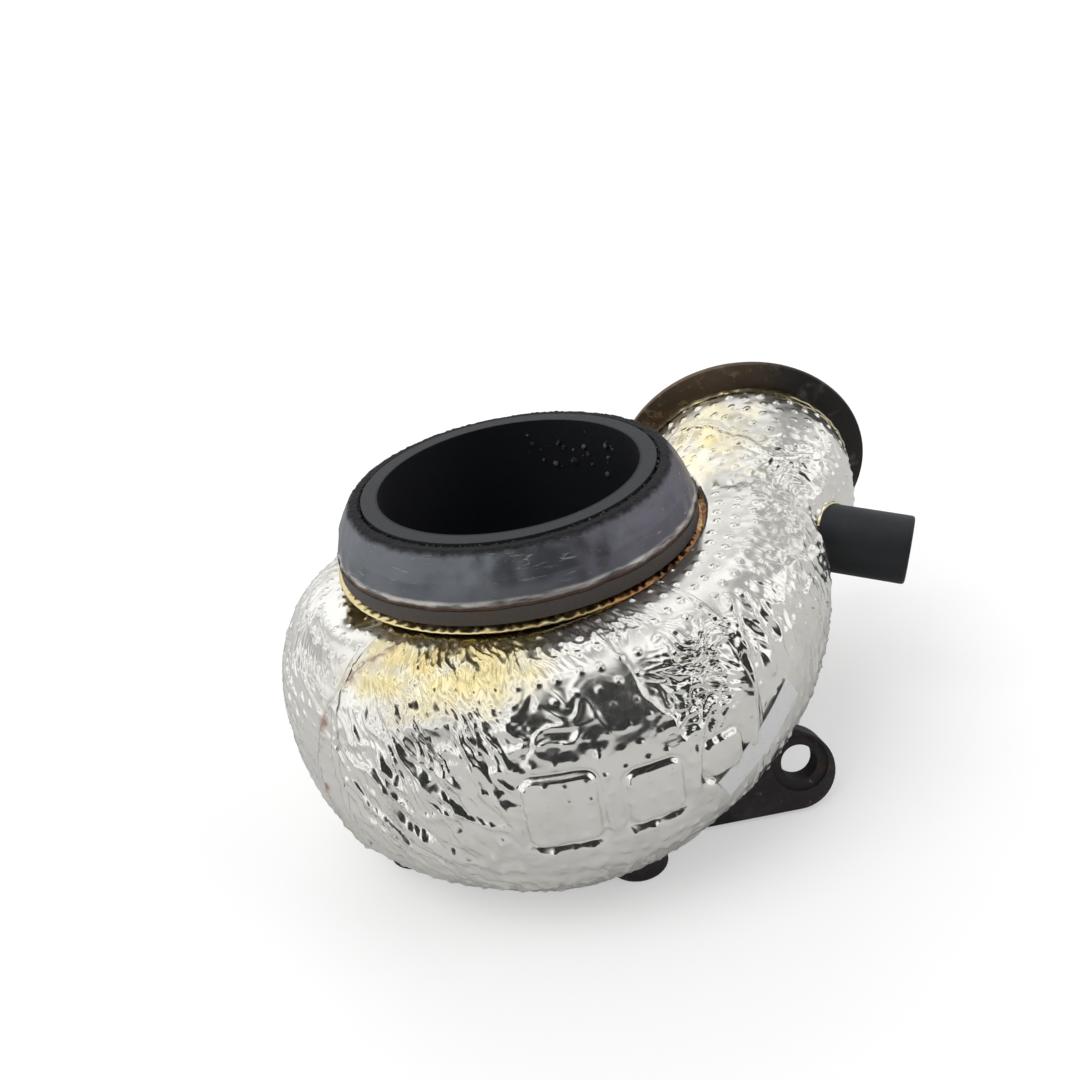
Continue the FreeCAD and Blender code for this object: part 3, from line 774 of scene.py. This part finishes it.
def tubeGrid(first, last, step, count, depth=0.0):
    length = lengthAt(last) - lengthAt(first)
    rows = max(4, int(math.ceil(length / step)))
    u = np.interp(np.linspace(lengthAt(first), lengthAt(last), rows + 1), fineA, fineU)
    phi = np.linspace(-180.0, 180.0, count, endpoint=False) + 180.0 / count
    gridU, gridPhi = np.meshgrid(u, phi, indexing="ij")
    spot = onTube(gridU, gridPhi, depth)
    ds = np.gradient(spot, axis=0)
    dp = np.roll(spot, -1, 1) - np.roll(spot, 1, 1)
    normal = unit(np.cross(dp, ds))
    centre = tubeFrames(gridU)[0]
    flip = np.sign((normal * (spot - centre)).sum(-1)).mean() < 0.0
    normal = -normal if flip else normal
    section = np.linalg.norm(np.roll(spot, -1, 1) - spot, axis=-1)
    start = count // 2
    b = np.zeros_like(section)
    b[:, start + 1:] = np.cumsum(section[:, start:-1], 1)
    b[:, :start] = -np.cumsum(section[:, start - 1::-1], 1)[:, ::-1]
    i, j = np.meshgrid(np.arange(rows), np.arange(count), indexing="ij")
    here = (i * count + j).ravel()
    side = (i * count + (j + 1) % count).ravel()
    on = ((i + 1) * count + j).ravel()
    far = ((i + 1) * count + (j + 1) % count).ravel()
    quads = np.stack([here, on, far, side], 1) if flip else np.stack([here, side, far, on], 1)
    corner = spot.reshape(-1, 3)
    one = np.cross(corner[quads[0, 1]] - corner[quads[0, 0]], corner[quads[0, 2]] - corner[quads[0, 0]])
    if (one * normal.reshape(-1, 3)[quads[0, 0]]).sum() < 0.0:
        quads = quads[:, ::-1]
    faces = np.vstack([quads[:, [0, 1, 2]], quads[:, [0, 2, 3]]])
    return gridU.ravel(), gridPhi.ravel(), b.ravel(), corner, normal.reshape(-1, 3), faces


jacketSheets = {"step": 0.6, "round": 425, "thickness": 0.6,
                "spans": {"inlet": (-duct["mouth"], foilJoints["front"]),
                          "front": (foilJoints["front"], foilJoints["left"]),
                          "left": (foilJoints["left"], foilJoints["rear"]),
                          "rear": (foilJoints["rear"], foilJoints["heel"]),
                          "heel": (foilJoints["heel"], scroll["tail"])}}


def tints(u, spot):
    r = np.hypot(spot[:, 0], spot[:, 1])
    gold = np.exp(-((u - 112.0) / 24.0) ** 4) * np.exp(-(np.maximum(r - 84.0, 0.0) / 10.0) ** 2)
    copper = np.exp(-((u - 66.0) / 13.0) ** 2) * np.exp(-(np.maximum(r - 63.0, 0.0) / 5.0) ** 2)
    ring = np.exp(-(np.maximum(r - 60.0, 0.0) / 7.0) ** 2)
    top = eased((spot[:, 2] - 76.0) / 14.0)
    heat = (0.40 * gold + 0.62 * copper + 0.16 * ring) * top
    straw = np.exp(-((spot[:, 0] - 76.0) / 24.0) ** 2 - ((spot[:, 1] - 36.0) / 34.0) ** 2) * top
    heat = np.maximum(heat, 0.24 * straw) * (0.75 + 0.5 * ripple(spot / 8.0, 61))
    seamU, seamPhi = placesLine(laps[1][0])
    burn = np.exp(-(lineDistance(spot, onTube(seamU, seamPhi)) / 3.4) ** 2)
    burn = burn * (0.70 + 0.6 * ripple(spot / 5.0, 62))
    return heat, np.clip(burn, 0.0, 1.0)


def underCollar(points):
    # the foil gives way under the outlet collar
    r = np.hypot(points[:, 0], points[:, 1])
    limit = openings["collarUnder"] + 30.0 * eased((r - openings["collar"]) / 9.0)
    over = points[:, 2] - (limit + 0.25 * ripple(points / 4.0, 9))
    points = points.copy()
    points[:, 2] -= np.where(over > -1.0, (over + np.sqrt(over * over + 0.5)) / 2.0, 0.0)
    return points


def nearNeck(spot):
    # the relief dies away towards the neck
    return eased((np.hypot(spot[:, 0], spot[:, 1]) - 50.0) / 12.0)


foil = foilMaterial(foilFinish)


def makeJacket(look):
    for name, (first, last) in look["spans"].items():
        u, phi, b, spot, normal, faces = tubeGrid(first, last, look["step"], look["round"])
        out = np.hypot(spot[:, 0], spot[:, 1]) > 53.0  # the rest is cut away by the neck
        height = np.zeros(len(spot))
        data = np.zeros((len(spot), 2))
        height[out], rough = sheetHeight(u[out], phi[out], b[out], spot[out])
        data[out] = np.stack(tints(u[out], spot[out]), 1)
        points = underCollar(spot + normal * (height * nearNeck(spot))[:, None])
        points, data, faces = opened(name, points, data, faces)
        piece = makeMesh("foilSheet_" + name, points, faces, data, ("tempering", "burn"))
        thicken(piece, look["thickness"], rimOnly=True)
        piece.data.materials.append(foil)
        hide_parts("foil_" + name)
        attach(piece, "root")
        print("foil", name, len(faces), "triangles")


makeJacket(jacketSheets)

matSheets = {"step": 2.2, "round": 130, "depth": 3.4, "thickness": 3.6}


def makeMats(look, spans):
    fibre = matMaterial(matFinish)
    for name, (first, last) in spans.items():
        u, phi, b, spot, normal, faces = tubeGrid(first, last, look["step"], look["round"], look["depth"])
        points = underCollar(spot + normal * (0.5 * ripple(spot / 6.0, 71))[:, None])
        points, data, faces = opened(name, points, np.zeros((len(points), 1)), faces, 0.6)
        piece = makeMesh("fibreMat_" + name, points, faces)
        thicken(piece, look["thickness"])
        piece.data.materials.append(fibre)
        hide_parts("insulation_" + name)
        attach(piece, "root")


makeMats(matSheets, jacketSheets["spans"])
print("mats made")

# strips over the joints of the foils
seamStrips = {"wide": 3.2, "radius": 100.0, "lift": 0.35, "thickness": 0.3, "step": 0.6, "count": 420,
              "on": {"front": "inlet", "left": "left", "rear": "rear", "heel": "heel"}}


def makeSeamStrips(look):
    half = math.degrees(look["wide"] / 2.0 / look["radius"])
    for name, angle in foilJoints.items():
        u, phi, b, spot, normal, faces = tubeGrid(angle - half, angle + half, look["step"], look["count"])
        height, rough = sheetHeight(u, phi, b, spot)
        middle = 1.0 - np.abs(u - angle) / half
        height = height * nearNeck(spot)
        height = height + look["lift"] * (0.35 + 0.65 * eased(middle * 2.0)) + 0.12 * ripple(spot / 2.5, 81)
        points = underCollar(spot + normal * height[:, None])
        data = np.stack(tints(u, spot), 1)
        points, data, faces = opened(look["on"][name], points, data, faces)
        rim = np.hypot(points[:, 0], points[:, 1]) - openings["stripRim"]
        rim = np.where(points[:, 2] > openings["split"], rim, 9.0)
        points, data, faces = cutAway(points, data, faces, rim)
        piece = makeMesh("seamStrip_" + name, points, faces, data, ("tempering", "burn"))
        thicken(piece, look["thickness"])
        piece.data.materials.append(foil)
        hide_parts("seam_strip_" + name)
        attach(piece, "root")


makeSeamStrips(seamStrips)
print("seam strips made")


def turnedPiece(name, look, at, way, shift, material, node):
    # closed profile of (radius, along) corners, turned about an axis
    corners, around, step = look["corners"], look["around"], look["step"]
    profile = []
    for (r0, z0), (r1, z1) in zip(corners, corners[1:] + corners[:1]):
        parts = max(1, int(round(math.hypot(r1 - r0, z1 - z0) / step)))
        profile += [(r0 + (r1 - r0) * i / parts, z0 + (z1 - z0) * i / parts) for i in range(parts)]
    profile = np.array(profile)
    count = len(profile)
    angle = np.linspace(0.0, 2.0 * math.pi, around, endpoint=False)
    ring, turn = np.meshgrid(np.arange(count), angle, indexing="ij")
    radius = profile[ring, 0]
    along = profile[ring, 1]
    local = np.stack([radius * np.cos(turn), radius * np.sin(turn), along], -1).reshape(-1, 3)
    if shift is not None:
        local = shift(local)
    axis = Vector(way).normalized()
    matrix = np.array(Vector((0.0, 0.0, 1.0)).rotation_difference(axis).to_matrix())
    points = local @ matrix.T + np.array(at)
    i, j = np.meshgrid(np.arange(count), np.arange(around), indexing="ij")
    here = (i * around + j).ravel()
    side = (i * around + (j + 1) % around).ravel()
    on = (((i + 1) % count) * around + j).ravel()
    far = (((i + 1) % count) * around + (j + 1) % around).ravel()
    quads = np.stack([here, side, far, on], 1)
    area = sum(r0 * z1 - r1 * z0 for (r0, z0), (r1, z1) in zip(corners, corners[1:] + corners[:1]))
    if area < 0.0:
        quads = quads[:, ::-1]
    mesh = bpy.data.meshes.new(name)
    mesh.from_pydata((points * mm).tolist(), [], quads.tolist())
    mesh.update()
    piece = addObject(name, mesh)
    smoothByAngle(mesh, 32.0)
    mesh.materials.append(material)
    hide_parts(node)
    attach(piece, "root")
    return piece


def smoothByAngle(mesh, limit):
    work = bmesh.new()
    work.from_mesh(mesh)
    for edge in work.edges:
        edge.smooth = not (len(edge.link_faces) == 2 and edge.calc_face_angle(0.0) > math.radians(limit))
    for face in work.faces:
        face.smooth = True
    work.to_mesh(mesh)
    work.free()


sealRing = {"corners": [(53.3, 107.0), (64.6, 107.0), (65.0, 107.3), (65.0, 108.2), (64.6, 108.9),
                        (63.6, 113.0), (62.9, 115.6), (61.4, 118.6), (59.6, 121.6), (58.4, 123.2),
                        (57.4, 124.2), (56.3, 124.6), (53.9, 124.6), (53.3, 123.6)],
            "around": 620, "step": 0.55}


def crumblyTop(local):
    # crumbling top edge, a few knocks in the bevel, chipped lower lip
    r = np.hypot(local[:, 0], local[:, 1])
    high = eased((local[:, 2] - 121.5) / 3.0)
    rough = 0.42 * ripple(local / 2.2, 91) + 0.28 * ripple(local / 0.9, 92)
    knock = np.minimum(0.0, 0.8 * ripple(local / 7.0, 93) - 0.42)
    low = eased((109.0 - local[:, 2]) / 1.0) * eased((r - 63.0) / 1.0)
    grow = high * rough + 0.8 * knock * eased((r - 56.0) / 2.0) + low * 0.25 * ripple(local / 1.6, 94)
    grow += 0.10 * ripple(local / 5.0, 95)
    moved = local.copy()
    moved[:, :2] *= (1.0 + grow / r)[:, None]
    moved[:, 2] += np.where(local[:, 2] > 124.0, 0.30 * ripple(local / 1.4, 96) - 0.15, 0.0)
    return moved


turnedPiece("outletSealRing", sealRing, (0, 0, 0), (0, 0, 1), crumblyTop, ringMaterial(ringFinish),
            "outlet_seal_ring")

inletFlange = {"corners": [(30.3, -8.0), (35.3, -8.0), (36.8, -6.4), (43.0, -4.2), (49.7, -2.5), (51.0, -2.0),
                           (51.2, -1.4), (51.2, -0.2), (50.9, 0.4), (49.6, 0.8), (43.0, 1.0), (37.3, 0.8),
                           (31.8, 0.0), (30.3, -1.5)], "around": 300, "step": 1.1}


def dished(local):
    moved = local.copy()
    moved[:, 2] += 0.10 * ripple(local / 8.0, 101)
    return moved


turnedPiece("inletFlange", inletFlange, duct["middle"], duct["way"], dished, flangeMaterial(flangeFinish),
            "inlet_flange")

stubPipe = {"corners": [(10.5, -17.0), (13.0, -17.0), (13.0, 20.8), (12.85, 21.4), (12.4, 21.85),
                        (11.8, 22.0), (11.0, 22.0), (10.6, 21.8), (10.5, 21.4)], "around": 140, "step": 1.2}
turnedPiece("stubPipe", stubPipe, openings["portAt"], openings["portWay"], None, pipeMaterial(pipeFinish),
            "side_port_pipe")

inletCollar = {"corners": [(36.2, -7.8), (43.2, -7.8), (43.2, -9.5), (43.7, -9.5), (43.7, -7.9), (42.6, -7.3),
                           (36.2, -7.3)], "around": 420, "step": 0.6}


def crimped(local):
    r = np.hypot(local[:, 0], local[:, 1])
    turn = np.arctan2(local[:, 1], local[:, 0])
    moved = local.copy()
    pleats = 0.22 * ripple(local / 3.5, 105) + 0.12 * np.sin(turn * 41.0)
    moved[:, :2] *= (1.0 + pleats * eased((r - 40.0) / 3.0) / r)[:, None]
    return moved


collarFoil = foilMaterial(foilFinish, "collarFoil", 0.22)
turnedPiece("inletCollarFoil", inletCollar, duct["middle"], duct["way"], crimped, collarFoil,
            "foil_inlet_collar")
print("turned pieces made")


def makeCasting():
    source = nodes["turbine_housing"]
    mesh = source.data.copy()
    mesh.name = "turbineCasting"
    piece = addObject("turbineCasting", mesh)
    work = bmesh.new()
    work.from_mesh(mesh)
    bmesh.ops.remove_doubles(work, verts=work.verts, dist=0.00001)
    work.to_mesh(mesh)
    work.free()
    smoothByAngle(mesh, 30.0)
    mesh.materials.clear()
    mesh.materials.append(castMaterial(castFinish))
    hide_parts("turbine_housing")
    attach(piece, "root")


makeCasting()

nodes["foil_port_collar"].data.materials.clear()
nodes["foil_port_collar"].data.materials.append(collarFoil)


blankStrip = {"from": (49.7, -91.5, 48.3), "to": (73.4, -77.4, 63.9), "long": 40.0, "wide": 10.5,
              "thickness": 0.3, "lift": 0.95, "angle": 54.0, "cells": (60, 16)}


def makeStrip(look):
    start = np.array(look["from"])
    end = np.array(look["to"])
    along = unit(end - start)
    turn = math.radians(-look["angle"])
    out = np.array([math.cos(turn), math.sin(turn), 0.0])
    across = unit(np.cross(out, along))
    out = np.cross(along, across)
    middle = (start + end) / 2.0
    rows, columns = look["cells"]
    s = np.linspace(-0.5, 0.5, rows + 1) * look["long"]
    w = np.linspace(-0.5, 0.5, columns + 1) * look["wide"]
    gridS, gridW = np.meshgrid(s, w, indexing="ij")
    flat = (middle + gridS[..., None] * along + gridW[..., None] * across).reshape(-1, 3)
    lo = np.full(len(flat), -30.0)
    hi = np.full(len(flat), 30.0)
    for _ in range(30):  # halve the gap to the smooth jacket along the strip's own normal
        mid = (lo + hi) / 2.0
        at = flat + mid[:, None] * out
        angle = np.degrees(np.arctan2(-at[:, 1], at[:, 0]))
        inside = sectionLevel(at, angle) < 0.0
        lo = np.where(inside, mid, lo)
        hi = np.where(inside, hi, mid)
    lift = look["lift"] + 0.12 * ripple(flat / 7.0, 111)
    nearEnd = np.abs(gridS.ravel()) / (look["long"] / 2.0)
    edge = 1.0 - np.maximum(nearEnd, np.abs(gridW.ravel()) / (look["wide"] / 2.0))
    lift = lift + 0.25 * (1.0 - eased(edge / 0.12)) * ripple(flat / 5.0, 112)
    points = flat + (lo + lift)[:, None] * out
    i, j = np.meshgrid(np.arange(rows), np.arange(columns), indexing="ij")
    here = i * (columns + 1) + j
    on = here + columns + 1
    quads = np.stack([here, on, on + 1, here + 1], -1).reshape(-1, 4)
    a, b, c = (points[quads[0, k]] for k in range(3))
    if np.cross(b - a, c - a) @ out < 0.0:
        quads = quads[:, ::-1]
    piece = makeMesh("blankStrip", points, quads)
    thicken(piece, look["thickness"])
    piece.data.materials.append(stripMaterial(stripFinish))
    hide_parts("id_strip")
    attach(piece, "root")


makeStrip(blankStrip)
print("strip made")

# crimped foil round the neck, made by a geometry tree
neckFoil = {"inner": 56.0, "outer": 66.2, "under": 99.9, "pleats": 46.0, "pleatHeight": 1.5, "crumple": 1.3,
            "seed": 3.0, "thickness": 0.25}


def geometryTree(name, inputs):
    group = bpy.data.node_groups.new(name, "GeometryNodeTree")
    group.interface.new_socket("Geometry", in_out="INPUT", socket_type="NodeSocketGeometry")
    for title, value in inputs.items():
        kind = "NodeSocketInt" if isinstance(value, int) else "NodeSocketFloat"
        group.interface.new_socket(title, in_out="INPUT", socket_type=kind).default_value = value
    group.interface.new_socket("Geometry", in_out="OUTPUT", socket_type="NodeSocketGeometry")
    tree = Tree(group)
    given = {title: tree.node("NodeGroupInput", output=title) for title in ["Geometry", *inputs]}
    return group, tree, given


def useTree(piece, group, values):
    modifier = piece.modifiers.new(group.name, "NODES")
    modifier.node_group = group
    for item in group.interface.items_tree:
        if item.in_out == "INPUT" and item.name in values:
            modifier[item.identifier] = values[item.name]
    bpy.context.view_layer.update()
    done = piece.evaluated_get(bpy.context.evaluated_depsgraph_get())
    mesh = bpy.data.meshes.new_from_object(done)
    piece.modifiers.clear()
    piece.data = mesh
    return piece


def closeTree(tree, geometry, material):
    real = tree.node("GeometryNodeRealizeInstances", {}, Geometry=geometry)
    named = tree.node("GeometryNodeSetMaterial", {}, Geometry=real, Material=material)
    tree.node("NodeGroupOutput", {}, named)


def neckTree(material):
    group, tree, given = geometryTree("pleatedRing", {
        "Inner": 0.056, "Outer": 0.066, "Under": 0.0999, "Pleats": 46.0, "Pleat Height": 0.0012,
        "Crumple": 0.001, "Seed": 3.0})
    sheet = tree.node("GeometryNodeMeshGrid", {}, 1.0, 1.0, 721, 19)
    spot = tree.node("GeometryNodeInputPosition")
    x = tree.node("ShaderNodeSeparateXYZ", {}, spot, output=0) + 0.5
    y = tree.node("ShaderNodeSeparateXYZ", {}, spot, output=1) + 0.5
    turn = x * (2.0 * math.pi)
    cosine = tree.node("ShaderNodeMath", {"operation": "COSINE"}, turn)
    sine = tree.node("ShaderNodeMath", {"operation": "SINE"}, turn)
    ringSpot = tree.node("ShaderNodeCombineXYZ", {}, cosine * 9.0, sine * 9.0, y * 1.2 + given["Seed"])
    wave = tree.node("ShaderNodeTexNoise", {}, Vector=ringSpot, Scale=1.0, Detail=2.0)
    fine = tree.node("ShaderNodeTexNoise", {}, Vector=ringSpot, Scale=4.5, Detail=2.0)
    swing = tree.node("ShaderNodeMath", {"operation": "SINE"}, turn * given["Pleats"] + wave * 9.0 + y * 2.0)
    fold = tree.node("ShaderNodeMath", {"operation": "ABSOLUTE"}, swing)
    middle = 4.0 * y * (1.0 - y)
    radius = given["Inner"] + (given["Outer"] - given["Inner"]) * y + (fine - 0.5) * given["Crumple"] * middle
    height = given["Under"] + middle * (fold * given["Pleat Height"] + (fine - 0.45) * given["Crumple"] * 1.6)
    place = tree.node("ShaderNodeCombineXYZ", {}, cosine * radius, sine * radius, height)
    bent = tree.node("GeometryNodeSetPosition", {}, Geometry=sheet, Position=place)
    closed = tree.node("GeometryNodeMergeByDistance", {}, Geometry=bent, Distance=0.00001)
    shaded = tree.node("GeometryNodeSetShadeSmooth", {}, Geometry=closed)
    closeTree(tree, shaded, material)
    return group


def makeNeckFoil(look):
    f = Finish("neckFoilTint")
    tone = f.noise(95.0, 3.0, 0.6) + 0.5 * (f.axis(0).between(0.0, 0.05) - 0.4)
    colour = f.ramp(tone.clip(), (0.25, foilFinish["straw"]), (0.5, foilFinish["gold"]),
                    (0.72, foilFinish["copper"]), (0.95, foilFinish["brown"]))
    fine = f.noise(700.0, 3.0, 0.6)
    material = f.done(Base_Color=colour, Metallic=1.0, Roughness=0.24 + 0.2 * fine,
                      Normal=f.bump(fine, 0.00015, 0.5))
    piece = addObject("neckFoil", bpy.data.meshes.new("neckFoil"))
    useTree(piece, neckTree(material), {
        "Inner": look["inner"] * mm, "Outer": look["outer"] * mm, "Under": look["under"] * mm,
        "Pleats": look["pleats"], "Pleat Height": look["pleatHeight"] * mm, "Crumple": look["crumple"] * mm,
        "Seed": look["seed"]})
    piece.data.name = "neckFoil"
    if sum(polygon.normal.z for polygon in piece.data.polygons) < 0.0:
        piece.data.flip_normals()
    thicken(piece, look["thickness"])
    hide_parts("foil_neck_collar")
    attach(piece, "root")


makeNeckFoil(neckFoil)
print("neck foil made")

# burnt crumbs, scattered by a geometry tree
crumbs = {"bore": {"from": 28.0, "to": 78.0, "radius": 46.75, "low": 103.0, "high": 121.0, "steps": 60,
                   "count": 40.0, "size": 1.6, "seed": 4},
          "gasket": {"from": 0.0, "to": 360.0, "radius": 53.2, "low": 123.9, "high": 124.35, "steps": 60,
                     "count": 240.0, "size": 0.55, "seed": 9}}


def crumbTree(material):
    group, tree, given = geometryTree("scatteredCrumbs", {"Count": 80.0, "Size": 0.001, "Seed": 1})
    scatter = tree.node("GeometryNodeDistributePointsOnFaces", {}, Mesh=given["Geometry"],
                        Density=given["Count"], Seed=given["Seed"])
    grain = tree.node("GeometryNodeMeshIcoSphere", {}, Radius=1.0, Subdivisions=2)
    spot = tree.node("GeometryNodeInputPosition")
    dent = tree.node("ShaderNodeTexNoise", {}, Vector=spot, Scale=1.7, Detail=2.0)
    lump = tree.node("ShaderNodeVectorMath", {"operation": "SCALE"}, spot, Scale=0.45 + 1.1 * dent)
    grain = tree.node("GeometryNodeSetPosition", {}, Geometry=grain, Position=lump)
    turned = tree.node("FunctionNodeRandomValue", {"data_type": "FLOAT_VECTOR"}, (0.0, 0.0, 0.0),
                       (6.28, 6.28, 6.28), Seed=7)
    size = tree.node("FunctionNodeRandomValue", {"data_type": "FLOAT"}, Seed=3, output=1)
    placed = tree.node("GeometryNodeInstanceOnPoints", {}, Points=scatter, Instance=grain,
                       Scale=(0.12 + 0.88 * size * size * size) * given["Size"])
    placed = tree.node("GeometryNodeRotateInstances", {}, Instances=placed, Rotation=turned)
    closeTree(tree, placed, material)
    return group


def makeCrumbs(look):
    group = crumbTree(crustMaterial(crustFinish))
    for name, part in look.items():
        steps = part["steps"]
        turn = np.radians(np.linspace(part["from"], part["to"], steps + 1))
        rows = [[(part["radius"] * math.cos(t), part["radius"] * math.sin(t), z) for t in turn]
                for z in (part["low"], part["high"])]
        points = np.array(rows).reshape(-1, 3)
        quads = np.array([[i, i + 1, steps + 2 + i, steps + 1 + i] for i in range(steps)])
        piece = makeMesh("burntCrumbs_" + name, points, quads)
        area = sum(polygon.area for polygon in piece.data.polygons)
        density = part["count"] / area
        useTree(piece, group, {"Count": density, "Size": part["size"] * mm, "Seed": part["seed"]})
        piece.data.name = "burntCrumbs_" + name
        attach(piece, "root")
        print("crumbs", name, len(piece.data.polygons))


makeCrumbs(crumbs)

studio = {"floor": (0.62, 0.62, 0.62), "glow": 0.44, "floorRadius": 14.0, "floorLevel": -0.0004,
          "light": 0.84, "shown": 1.36, "dark": 0.97, "darkWay": (0.24, -0.971, 0.0), "murk": 0.36,
          "suns": (
              # name, way that it shines, size of its disc in degrees, strength
              ("keySun", (0.55, 0.35, -0.95), 42.0, 0.95),
              ("sideSun", (-0.85, 0.30, -0.55), 36.0, 0.45),
              ("backSun", (0.10, -0.80, -0.65), 40.0, 0.40))}


def makeStudio(look):
    turn = np.linspace(0.0, 2.0 * math.pi, 97)[:-1]
    radius = look["floorRadius"]
    rim = [(radius * math.cos(t), radius * math.sin(t), look["floorLevel"]) for t in turn]
    mesh = bpy.data.meshes.new("studioFloor")
    mesh.from_pydata(rim, [], [tuple(range(len(rim)))])
    floor = addObject("studioFloor", mesh)
    f = Finish("paleFloor")
    shade = f.mix(f.noise(3.0, 2.0, 0.5), look["floor"], tuple(0.985 * c for c in look["floor"]))
    seen = f.node("ShaderNodeLightPath", output="Is Camera Ray")
    mesh.materials.append(f.done(Base_Color=shade, Roughness=0.8, Emission_Color=(1.0, 1.0, 1.0),
                                 Emission_Strength=seen * look["glow"]))
    world = bpy.data.worlds.new("studioWorld")
    bpy.context.scene.world = world
    world.use_nodes = True
    sky = Tree(world.node_tree)
    way = sky.node("ShaderNodeTexCoord", output="Generated")
    # the dark side of the room behind the camera, which the front of a polished thing shows
    ahead = sky.node("ShaderNodeVectorMath", {"operation": "DOT_PRODUCT"}, way, look["darkWay"],
                     output="Value")
    height = sky.node("ShaderNodeSeparateXYZ", {}, way, output=2)
    level = (1.0 - height * height) ** 0.5
    dark = (ahead / level).between(0.70, 0.88) * (1.0 - height.between(0.84, 0.985))
    patches = sky.node("ShaderNodeTexNoise", {}, Vector=way, Scale=2.3, Detail=3.0).between(0.40, 0.58)
    seen = sky.node("ShaderNodeLightPath", output="Is Camera Ray")
    shown = sky.node("ShaderNodeLightPath", output="Is Glossy Ray")
    plain = look["light"] * (1.0 + (look["shown"] - 1.0) * shown)
    # a polished thing shows bright and dim parts of the room, a matt one their mean
    uneven = 0.85 * (1.0 - shown) + shown * (look["murk"] + (1.06 - look["murk"]) * patches)
    light = plain * (1.0 - look["dark"] * dark) * uneven
    back = sky.node("ShaderNodeBackground", {}, Color=(1.0, 1.0, 1.0), Strength=seen + (1.0 - seen) * light)
    sky.node("ShaderNodeOutputWorld", {}, Surface=back)
    for name, shines, disc, power in look["suns"]:
        data = bpy.data.lights.new(name, "SUN")
        data.angle = math.radians(disc)
        data.energy = power
        lamp = addObject(name, data)
        lamp.visible_glossy = False  # the foil shows the room, not the lamps' discs
        lamp.rotation_mode = "QUATERNION"
        lamp.rotation_quaternion = Vector(shines).to_track_quat("-Z", "Y")


makeStudio(studio)
bpy.context.scene.view_settings.view_transform = "Standard"

print("finishing")
